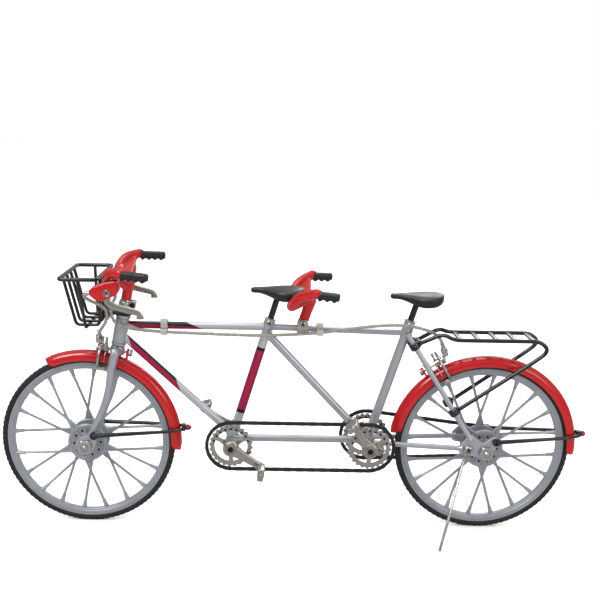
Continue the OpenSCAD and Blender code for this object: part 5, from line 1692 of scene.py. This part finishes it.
        disc = hoop(1.3, r - 0.8, r, 0.2, 0.42, at, Y_AXIS, 15 * 8, tooth)
        boss = turned([(0, -0.4), (2.4, -0.4), (2.5, -0.3), (2.5, 0.5), (2.2, 0.75), (1.6, 0.8), (0, 0.8)], at,
            Y_AXIS, 48)
        spots = [at + 3.5 * swing(a) + 0.4 * Y_AXIS for a in np.arange(5) * math.tau / 5]
        marks = [Screws.head(spot, Y_AXIS, 0.4, 0.2) for spot in spots]
        piece("rear_sprocket_toothed", [disc, boss, *marks], NICKEL, "freewheel", ["rear_sprocket"])

    def build(self) -> None:
        """Makes the drive."""
        front, rear = AT.front_spindle, AT.rear_spindle
        self.set_of(front, "pedal_fl_turn", "pedal_fr_turn", "front_crank", "front_crankset")
        self.set_of(rear, "pedal_rl_turn", "pedal_rr_turn", "rear_crank", "rear_crankset")
        left = Chainring(front, self.side_y, self.ring_r, 24)
        rings = [
            Chainring(rear, self.side_y, self.ring_r, 24), Chainring(rear, self.drive_y, self.drive_ring_r, 26),
        ]
        piece("front_chainring_band", left.build(), NICKEL, "front_crank", ["front_chainring"])
        piece("rear_chainring_bands", [ring.build() for ring in rings], NICKEL, "rear_crank", ["rear_chainrings"])
        # The slot slabs are painted shade in the chainring slots.
        piece("front_chainring_slot_shade", left.slots(), DARK_STEEL_AND_RECESS_SHADE, "front_crank")
        piece("rear_chainring_slot_shade", [ring.slots() for ring in rings], DARK_STEEL_AND_RECESS_SHADE, "rear_crank")
        self.pedal("pedal_fl_turn", "pedal_fl", "front_left_pedal", -1.0, 80)
        self.pedal("pedal_fr_turn", "pedal_fr", "front_right_pedal", 1.0, 20)
        self.pedal("pedal_rl_turn", "pedal_rl", "rear_left_pedal", -1.0, 40)
        self.pedal("pedal_rr_turn", "pedal_rr", "rear_right_pedal", 1.0, 60)
        self.sprocket()
        rest = 0.95
        side = Chain(front, self.ring_r + rest, rear, self.ring_r + rest, self.side_y)
        piece("side_chain_links", side.build(), CHAIN, "frame", ["side_chain"])
        back = Chain(rear, self.drive_ring_r + rest, AT.rear_hub, self.sprocket_r + rest, self.drive_y)
        piece("drive_chain_links", back.build(), CHAIN, "frame", ["drive_chain"])


# --- brakes and cables


@dataclass
class Brake:
    """A side-pull caliper on its bolt: two curved arms with pads, a spring, an adjuster and nuts."""

    centre: Array
    out: Array
    cable: Points
    reach_mm: float = 7.6
    pad_y: float = 1.9

    def axes(self) -> Array:
        """Rows: across the bicycle, up along the caliper, and out along the bolt."""
        out = unit(self.out)
        up = unit(Z_AXIS - out * out[2])
        return np.stack([np.cross(up, out), up, out])

    def arm(self, side: float, depth: float) -> Shape:
        """One arm: an oval carried round the tyre from the bolt to the pad, with a cable lug above it."""
        a = self.axes()
        across = side * Y_AXIS
        up = a[1]
        base = self.centre + depth * a[2]
        spots = [(0.2, 0.1), (1.9, 0.55), (3.7, -0.5), (4.7, -2.4), (4.55, -4.6), (3.4, -6.3), (2.5, -7.3)]
        route = smooth([base + across * x + up * z for x, z in spots], 6)
        share = np.linspace(0, 1, len(route))
        size = np.column_stack([1.55 - 0.55 * share, np.full(len(route), 0.64)])
        blade = sweep(route, circle(18), size, side=across)
        barrel = rod(line(base - 0.58 * a[2], base + 0.58 * a[2]), 1.6, 30, 0.15)
        lug_route = line(base + up * 0.8, base + up * 4.2 + across * 0.5, 4)
        lug = sweep(lug_route, circle(16), np.array([[0.75, 0.5], [0.6, 0.5], [0.6, 0.5], [0.85, 0.55]]),
            side=across)
        return join([blade, barrel, lug])

    def pad(self, side: float) -> tuple[Shape, Shape]:
        """The pad's bright holder with its nut, and the dark block."""
        a = self.axes()
        fore = a[2]
        spot = self.centre + side * (self.pad_y + 0.62) * Y_AXIS - self.reach_mm * a[1]
        shoe = soft_outline([(-2.0, -0.75), (2.0, -0.75), (2.0, 0.75), (-2.0, 0.75)], 0.5)
        frame_axes = np.stack([fore, a[1], np.cross(fore, a[1])])
        holder = slab(shoe, 0.5, frame_axes, spot + side * 0.18 * Y_AXIS, 0.12)
        block = oblong(1.9, 0.62, 0.4, 0.5, frame_axes, spot - side * 0.3 * Y_AXIS, 0.12)
        nut = Screws.nut(spot + side * 0.4 * Y_AXIS, side * Y_AXIS, 1.5, 0.7)
        return join([holder, nut]), block

    def spring(self) -> Shape:
        """A thin spring wire that arches from one arm over the bolt to the other."""
        a = self.axes()
        spots = [(-4.3, -4.2), (-3.9, -1.6), (-2.2, 0.1), (-0.6, -1.9), (0.6, -1.9), (2.2, 0.1), (3.9, -1.6),
            (4.3, -4.2)]
        base = self.centre - 1.5 * a[2]
        return rod(smooth([base + Y_AXIS * x + a[1] * z for x, z in spots], 5), 0.2, 10)

    def bolt(self, back: float) -> Shape:
        """The bolt through both arms with a nut at each end and washers between."""
        a = self.axes()
        shaft = rod(line(self.centre - back * a[2], self.centre + 1.9 * a[2]), 0.58, 20, 0.1)
        front_nut = Screws.nut(self.centre + 1.55 * a[2], a[2], 3.0, 1.0)
        dome = turned([(0, 0), (0.85, 0), (0.7, 0.45), (0.3, 0.62), (0, 0.65)], self.centre + 2.5 * a[2], a[2], 24)
        back_nut = Screws.nut(self.centre - (back - 1.2) * a[2], -a[2], 2.5, 1.2)
        washer = [(0, 0), (1.35, 0), (1.35, 0.28), (0, 0.28)]
        washers = [turned(washer, self.centre + d * a[2], a[2], 30) for d in (1.28, -1.6, -0.12)]
        return join([shaft, front_nut, dome, back_nut, *washers])

    def adjuster(self) -> Shape:
        """The knurled adjuster at the cable's end, the link down to the bolt, and the clamp nuts beside it."""
        a = self.axes()
        end, before = (np.asarray(p, float) for p in (self.cable[-1], self.cable[-2]))
        down = unit(end - before)
        barrel = turned([
            (0, -0.2), (0.85, -0.2), (0.9, 0.3), (1.3, 0.45), (1.3, 1.9), (1.0, 2.05), (1.0, 2.5), (0.7, 2.7),
            (0, 2.7),
        ], end, down, 28)
        foot = end + down * 2.5
        link = rod(line(foot, self.centre + a[1] * 0.9), 0.62, 16, 0.1)
        nuts = [Screws.nut(foot + side * 0.4 * Y_AXIS, side * Y_AXIS, 2.2, 1.1) for side in (-1.0, 1.0)]
        return join([barrel, link, *nuts])

    def build(self, names: dict[str, str], prefix: str, back: float) -> None:
        """Makes the caliper.

        Args:
            names: for the left and right arm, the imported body.
            prefix: front or rear.
            back: how far the bolt reaches back, in millimetres.
        """
        holder_body = "steering" if prefix == "front" else "frame"
        for key, side, depth in (("left", -1.0, 0.7), ("right", 1.0, -0.7)):
            holder, block = self.pad(side)
            node = f"{prefix}_{key}_brake_arm"
            piece(node + "_forged", [self.arm(side, depth), holder], CHROME, names[key], [node], crease=45)
            piece(node + "_pad", block, GRIP, names[key])
        parts = [self.bolt(back), self.spring(), self.adjuster()]
        piece(prefix + "_brake_bolt_and_spring", parts, CHROME, holder_body, [prefix + "_brake_bolt"], crease=45)


@dataclass
class Cables:
    """Brake cables in clear sleeves, with end ferrules, and the nylon clips that hold the rear one.

    Attributes:
        front_route: points of the front brake's cable, in millimetres.
        lead_route: points of the rear brake's cable as far as the head tube.
        rear_route: points of the rear brake's cable along the frame.
    """

    front_route: tuple = (
        (-73.5, -20, 96.4), (-75.4, -19.9, 96.2), (-76.4, -18.6, 95.4), (-76, -17.2, 94), (-74.2, -16, 92.6),
        (-71.8, -14.2, 91), (-70.6, -11, 89), (-70.6, -7.6, 86.9), (-71, -5.4, 84.4), (-72, -3.8, 81.8),
        (-73.8, -1.6, 79.2), (-74.9, -0.3, 77.4), (-75, 0, 76.6),
    )
    lead_route: tuple = (
        (-73.5, 20, 96.4), (-75.4, 19.9, 96.2), (-76.4, 18.6, 95.4), (-76, 17.2, 94), (-74.2, 16, 92.6),
        (-71.8, 14.2, 91.2), (-70.4, 11, 90.2), (-69.8, 7.5, 89.6), (-69.6, 3.5, 89.2), (-69.7, 0, 88.8),
        (-69.6, -3.4, 87.8), (-69.2, -5.4, 85.8), (-68.4, -5.6, 83.6), (-67.6, -5.2, 82.3),
    )
    rear_route: tuple = (
        (-67.3, -5, 81.8), (-65, -4, 80.8), (-60, -2.8, 79.4), (-50, -2.4, 78.6), (-36, -2.6, 78.2),
        (-22, -3.2, 78), (-13, -3.4, 78), (-2, -3.1, 78.4), (9, -2.6, 79.2), (19, -2.4, 80.6),
        (29, -2.6, 82), (37, -3.4, 82.7), (43, -4, 82.5), (47.6, -3.4, 81.4), (51.6, -1.8, 79.8),
        (54.2, -0.5, 77.8), (55.7, 0, 75.6), (56.4, 0, 73.6),
    )
    radius: float = 0.62

    def sleeve(self, route: Points) -> Shape:
        """A sleeve: a circle carried along the smooth curve through the route."""
        return rod(smooth(route, 5), self.radius, 14, 0.12)

    def ferrule(self, at: Sequence[float], towards: Sequence[float]) -> Shape:
        """A short metal cap on a sleeve's end, with a stop ring."""
        start = np.asarray(at, float)
        out = unit(np.asarray(towards, float) - start)
        return turned([(0, -0.3), (0.6, -0.3), (0.78, -0.15), (0.78, 1.3), (0.88, 1.4), (0.88, 1.7), (0.7, 1.8),
            (0, 1.8)], start, out, 24)

    def clip(self, at: Array, tube_z: float, tube_r: float) -> Shape:
        """A clip: a band round the tube, a saddle round the sleeve and a square tab with a rib."""
        band = hoop(tube_r + 0.12, tube_r + 0.75, tube_r + 0.9, 1.0, 1.3, vec(at[0], 0, tube_z), X_AXIS, 40)
        loop = hoop(0.68, 1.15, 1.25, 1.0, 1.3, at, X_AXIS, 28)
        tab = cut_plate([(-1.3, -0.9), (1.3, -0.9), (1.3, 1.2), (-1.3, 1.2)], 0.3, 0.8, IN_PLANE,
            vec(at[0], -tube_r - 0.6, tube_z + tube_r + 0.4), 0.15)
        return join([band, loop, tab])

    def cable(self, name: str, route: Points, body: str, node: str, both_ends: bool) -> None:
        path = smooth(route, 5) * MM
        made = piece(name + "_sleeve", self.sleeve(route), SLEEVE, body, [node])
        caps = [self.ferrule(route[0], route[1])]
        if both_ends:
            caps.append(self.ferrule(route[-1], route[-2]))
        caps = piece(name + "_ferrules", caps, CHROME, body)
        tuple(path[0])

    def build(self) -> None:
        """Makes cables, ferrules and clips."""
        self.cable("front_cable", self.front_route, "steering", "front_brake_cable", True)
        self.cable("rear_cable_lead", self.lead_route, "steering", "rear_cable_lead", False)
        self.cable("rear_cable", self.rear_route[::-1], "frame", "rear_brake_cable", False)
        clips = [self.clip(vec(*self.rear_route[3]), 80.6, 1.4), self.clip(vec(*self.rear_route[8]), 79.9, 1.2)]
        piece("nylon_cable_clips", clips, NYLON, "frame", ["cable_clips"])


# --- saddles and stand


@dataclass
class Saddle:
    """A moulded saddle on its post: a narrow nose, a flared tail, a rolled skirt and a clamp below.

    Attributes:
        spindle: the seat tube's foot.
        rise: height of the saddle above its collar, along the tube.
        body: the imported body.
        prefix: front or rear.
    """

    spindle: Array
    rise: float
    body: str
    prefix: str
    length: float = 21.0
    width: float = 15.0
    insert: float = 9.0

    def shell(self) -> Shape:
        """The shell: at each place along it, a dome whose half-width follows the plan and whose skirt rolls in.

        The plan's half-width is a narrow nose that widens over a smooth step to the tail and closes as a
        quarter ellipse at both ends; the top rises a little towards the tail.
        """
        top = AT.seat(self.spindle, 50.3 + self.rise)
        n = 72
        t = 0.5 - 0.5 * np.cos(np.linspace(0, math.pi, n))
        x = top[0] - self.length * 0.52 + 0.05 + t * (self.length * 0.96 - 0.1)
        rise = np.clip((t - 0.1) / 0.56, 0, 1)
        widen = rise * rise * (3 - 2 * rise)
        nose = np.sqrt(np.clip(1 - (1 - np.clip(t / 0.08, 0, 1)) ** 2, 0, 1))
        tail = np.sqrt(np.clip(1 - (np.clip((t - 0.68) / 0.32, 0, 1)) ** 2.4, 0, 1))
        ends = nose * tail
        plan = np.maximum((1.7 + (self.width / 2 - 1.75) * widen) * ends, 0.05)
        crown = top[2] + 1.05 + 0.5 * t
        crown = crown - 0.7 * (1 - ends)
        depth = (2.1 + 3.3 * widen) * (0.3 + 0.7 * ends)
        angle = np.linspace(0, math.tau, 48, endpoint=False)
        c, s = np.cos(angle), np.sin(angle)
        wide = np.sign(c) * np.abs(c) ** 0.72
        high = np.where(s > 0, np.abs(s) ** 0.85, -np.abs(s) ** 0.6)
        skirt = np.where(s < 0, 1 - 0.12 * np.abs(s), 1.0)
        y = plan[:, None] * (wide * skirt)[None]
        z = (crown - depth * 0.42)[:, None] + np.where(high > 0, high * 0.42, high * 0.58)[None] * depth[:, None]
        groove = 0.12 * np.exp(-(y / 0.9) ** 2) * np.exp(-((t[:, None] - 0.45) / 0.24) ** 2)
        z = z - np.where(s > 0, 1.0, 0.0)[None] * groove
        grid = np.stack([np.broadcast_to(x[:, None], y.shape), y, z], axis=2)
        return lattice(grid)

    def under(self) -> Shape:
        """The clamp block, the small bump and two stiffening rails under the shell."""
        top = AT.seat(self.spindle, 50.3 + self.rise)
        block = cut_plate([(-2.4, -1.7), (2.4, -1.7), (2.0, 0.6), (-2.0, 0.6)], 0.5, 3.4, IN_PLANE,
            top + vec(-0.2, 0, -0.6), 0.4)
        collar = turned([(0, 0), (1.45, 0), (1.7, 0.3), (1.7, 1.4), (1.4, 1.7), (0, 1.7)],
            AT.seat(self.spindle, 50.3 + self.rise - 3.4), AT.seat_up, 32)
        rail = smooth([top + vec(-7.5, 1.2, -0.2), top + vec(-3.5, 1.6, -1.2), top + vec(0.5, 1.9, -1.35),
            top + vec(4.2, 3.2, -0.6), top + vec(5.6, 3.6, 0.0)], 5)
        return join([block, collar, both(rod(rail, 0.36, 12, 0.1))])

    def build(self) -> None:
        """Makes saddle and post."""
        piece(self.prefix + "_saddle_shell", [self.shell(), self.under()], SATIN_BLACK, self.body,
            [self.prefix + "_saddle"], crease=60)
        foot, head = AT.seat(self.spindle, 50.3 - self.insert), AT.seat(self.spindle, 50.3 + self.rise)
        piece(self.prefix + "_saddle_post", rod(line(foot, head), 1.18, 32, 0.2), ENAMEL, self.body)


@dataclass
class Stand:
    """The wire stand: an eye on the pivot screw and a leg that leans out to the left, with a flattened foot."""

    def build(self) -> None:
        """Makes the stand."""
        pivot = AT.stand_pivot * vec(1, 0, 1)
        y = -8.7
        foot = vec(pivot[0] - 11.4, -24.3, 0.42)
        route = smooth([pivot + vec(-0.9, y, -1.3), pivot + vec(-1.3, y - 0.3, -3.6),
            pivot + vec(-3.6, y - 3.8, -11.0), pivot + 0.62 * (foot - pivot) + vec(0, y * 0.38, 0), foot], 6)
        leg = rod(route, 0.52, 18, 0.25)
        eye = hoop(0.85, 1.85, 2.0, 0.3, 0.5, pivot + y * Y_AXIS, Y_AXIS, 40)
        boot = rod(line(route[-1] + (route[-2] - route[-1]) * 1.2, route[-1]), 0.42, 16, 0.2)
        piece("wire_stand", [leg, eye, boot], CHROME, "stand", ["kickstand"])


# --- floor, light, camera


@dataclass
class Studio:
    """Pale floor, soft area lights and the camera at eye level of the left side."""

    eye: tuple[float, float, float] = (-10.55, -331.49, 156.65)
    right: tuple[float, float, float] = (0.99986, 0.00932, 0.01397)
    up: tuple[float, float, float] = (-0.01594, 0.26513, 0.96408)
    lens: float = 53.625
    shift: tuple[float, float] = (0.0618, 0.1085)

    def floor(self) -> None:
        """A wide white floor, darker in reflections so that black and plated pieces keep their depth."""
        half = 6000.0
        flat = Shape(
            np.array([[-half, -half, -0.01], [half, -half, -0.01], [half, half, -0.01], [-half, half, -0.01]]),
            [np.array([[0, 1, 2, 3]])], [np.zeros((1, 4, 2))],
        )
        made = bpy.data.objects.new("studio_floor", mesh_of("studio_floor", flat, 30))
        bpy.context.scene.collection.objects.link(made)
        paint = bpy.data.materials.new("matt_white_paper")
        paint.use_nodes = True
        shader = paint.node_tree.nodes["Principled BSDF"]
        tree = paint.node_tree
        mirrored = add(tree, "LightPath").outputs["Is Glossy Ray"]
        mix = add(tree, "Mix", {"Factor": mirrored}, data_type="RGBA")
        mix.inputs[6].default_value, mix.inputs[7].default_value = linear("#FFFFFF"), linear("#98989A")
        tree.links.new(mix.outputs[2], shader.inputs["Base Color"])
        shader.inputs["Roughness"].default_value = 1.0
        shader.inputs["Specular IOR Level"].default_value = 0.0
        made.data.materials.append(paint)

    def lamp(self, name: str, place: Sequence[float], size: float, watts: float) -> None:
        """A square area light at a place in millimetres, turned to the middle of the bicycle."""
        data = bpy.data.lights.new(name, "AREA")
        data.energy, data.size = watts, size * MM
        made = bpy.data.objects.new(name, data)
        aim = unit(np.array(place, float) - vec(0, 0, 50))
        axes = axes_along(aim, X_AXIS if abs(aim[0]) < 0.9 else Y_AXIS)
        turn = Matrix(axes.T.tolist()).to_4x4()
        turn.translation = [c * MM for c in place]
        made.matrix_world = turn
        bpy.context.scene.collection.objects.link(made)

    def room(self) -> None:
        """The surroundings: white to the eye and to matt surfaces, a dark ramp from floor to ceiling in
        reflections.
        """
        world = bpy.data.worlds.new("pale_room")
        bpy.context.scene.world = world
        world.use_nodes = True
        tree = world.node_tree
        sky = tree.nodes["Background"]
        sky.inputs["Strength"].default_value = 1.0
        height = add(tree, "SeparateXYZ", {"Vector": add(tree, "TexCoord").outputs["Generated"]}).outputs["Z"]
        ramp = add(tree, "MapRange", {"Value": height, "From Min": -0.3, "From Max": 0.9, "To Min": 0.05,
            "To Max": 0.75})
        matt = maths(tree, "SUBTRACT", 1.0, add(tree, "LightPath").outputs["Is Glossy Ray"])
        level = maths(tree, "MAXIMUM", ramp.outputs["Result"], matt)
        shade = add(tree, "CombineColor", {"Red": level, "Green": level, "Blue": level})
        tree.links.new(shade.outputs["Color"], sky.inputs["Color"])
        bpy.context.scene.view_settings.view_transform = "Standard"

    def build(self) -> None:
        """Sets floor, lights, surroundings and camera."""
        self.floor()
        self.lamp("key_softbox", (-360, -380, 620), 300, 3.2)
        self.lamp("fill_softbox", (460, -420, 300), 260, 0.7)
        self.lamp("top_softbox", (0, 60, 700), 420, 1.4)
        self.lamp("rim_softbox", (200, 480, 380), 300, 1.0)
        self.room()
        data = bpy.data.cameras.new("eye")
        data.sensor_width, data.lens = 36.0, self.lens
        data.shift_x, data.shift_y = self.shift
        data.clip_start, data.clip_end = 0.01, 20.0
        made = bpy.data.objects.new("eye", data)
        right, up = unit(np.array(self.right)), unit(np.array(self.up))
        turn = Matrix(np.stack([right, up, np.cross(right, up)]).T.tolist()).to_4x4()
        turn.translation = [c * MM for c in self.eye]
        made.matrix_world = turn
        bpy.context.scene.collection.objects.link(made)
        bpy.context.scene.camera = made


def dress_leftovers() -> None:
    """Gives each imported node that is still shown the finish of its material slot."""
    by_slot = {
        f.slot: f
        for f in (SLEEVE, NYLON, GRIP, SATIN_BLACK, TYRE, SPOKE, CHAIN, ENAMEL, LENS, RED, CHROME, SILVER)
    }
    slots = {s["node"]: s["material_slot"] for s in frame["record"]["subparts"]}
    for name, node in frame["nodes"].items():
        node.data.materials.clear()
        node.data.materials.append(by_slot[slots[name]].material())
        if not node.hide_render:
            LOG.warning("%s is shown as packed", name)


def fender_tab(brake: Brake, back: float, drop: float) -> Shape:
    """The flat tab that hangs a fender from its brake bolt, with a rounded head."""
    outline = soft_outline([(-1.5, -drop), (1.5, -drop), (1.5, 0.6), (0.7, 1.5), (-0.7, 1.5), (-1.5, 0.6)], 0.5)
    return slab(outline, 0.8, brake.axes(), brake.centre - back * unit(brake.out), 0.15)


def main() -> None:
    logging.basicConfig(level=logging.INFO, format="%(name)s: %(message)s")
    Studio().build()
    cables = Cables()
    cables.build()
    TubeFrame().build()
    Screws().build()
    MouldedWheel(AT.front_hub, "front_wheel_set", "front").build(False)
    MouldedWheel(AT.rear_hub, "rear_wheel_set", "rear").build(True)
    Fork().build()
    front_out = -AT.front_brake_out if AT.front_brake_out[0] > 0 else AT.front_brake_out
    rear_out = AT.rear_brake_out if AT.rear_brake_out[0] > 0 else -AT.rear_brake_out
    front_brake = Brake(AT.front_brake, front_out, cables.front_route)
    rear_brake = Brake(AT.rear_brake, rear_out, cables.rear_route)
    Fender(AT.front_hub, "steering", "front", -6, 116).build(fender_tab(front_brake, 9.4, 3.2))
    Fender(AT.rear_hub, "frame", "rear", -5, 172).build(fender_tab(rear_brake, 6.6, 2.5))
    Bars().build()
    Basket().build()
    Rack().build()
    Drive().build()
    front_brake.build({"left": "brake_fl", "right": "brake_fr"}, "front", 11.2)
    rear_brake.build({"left": "brake_rl", "right": "brake_rr"}, "rear", 8.2)
    Saddle(AT.front_spindle, 11.2, "front_saddle_set", "front").build()
    Saddle(AT.rear_spindle, 9.6, "rear_saddle_set", "rear").build()
    Stand().build()
    dress_leftovers()
    bpy.context.view_layer.update()


if __name__ == "__main__":
    main()
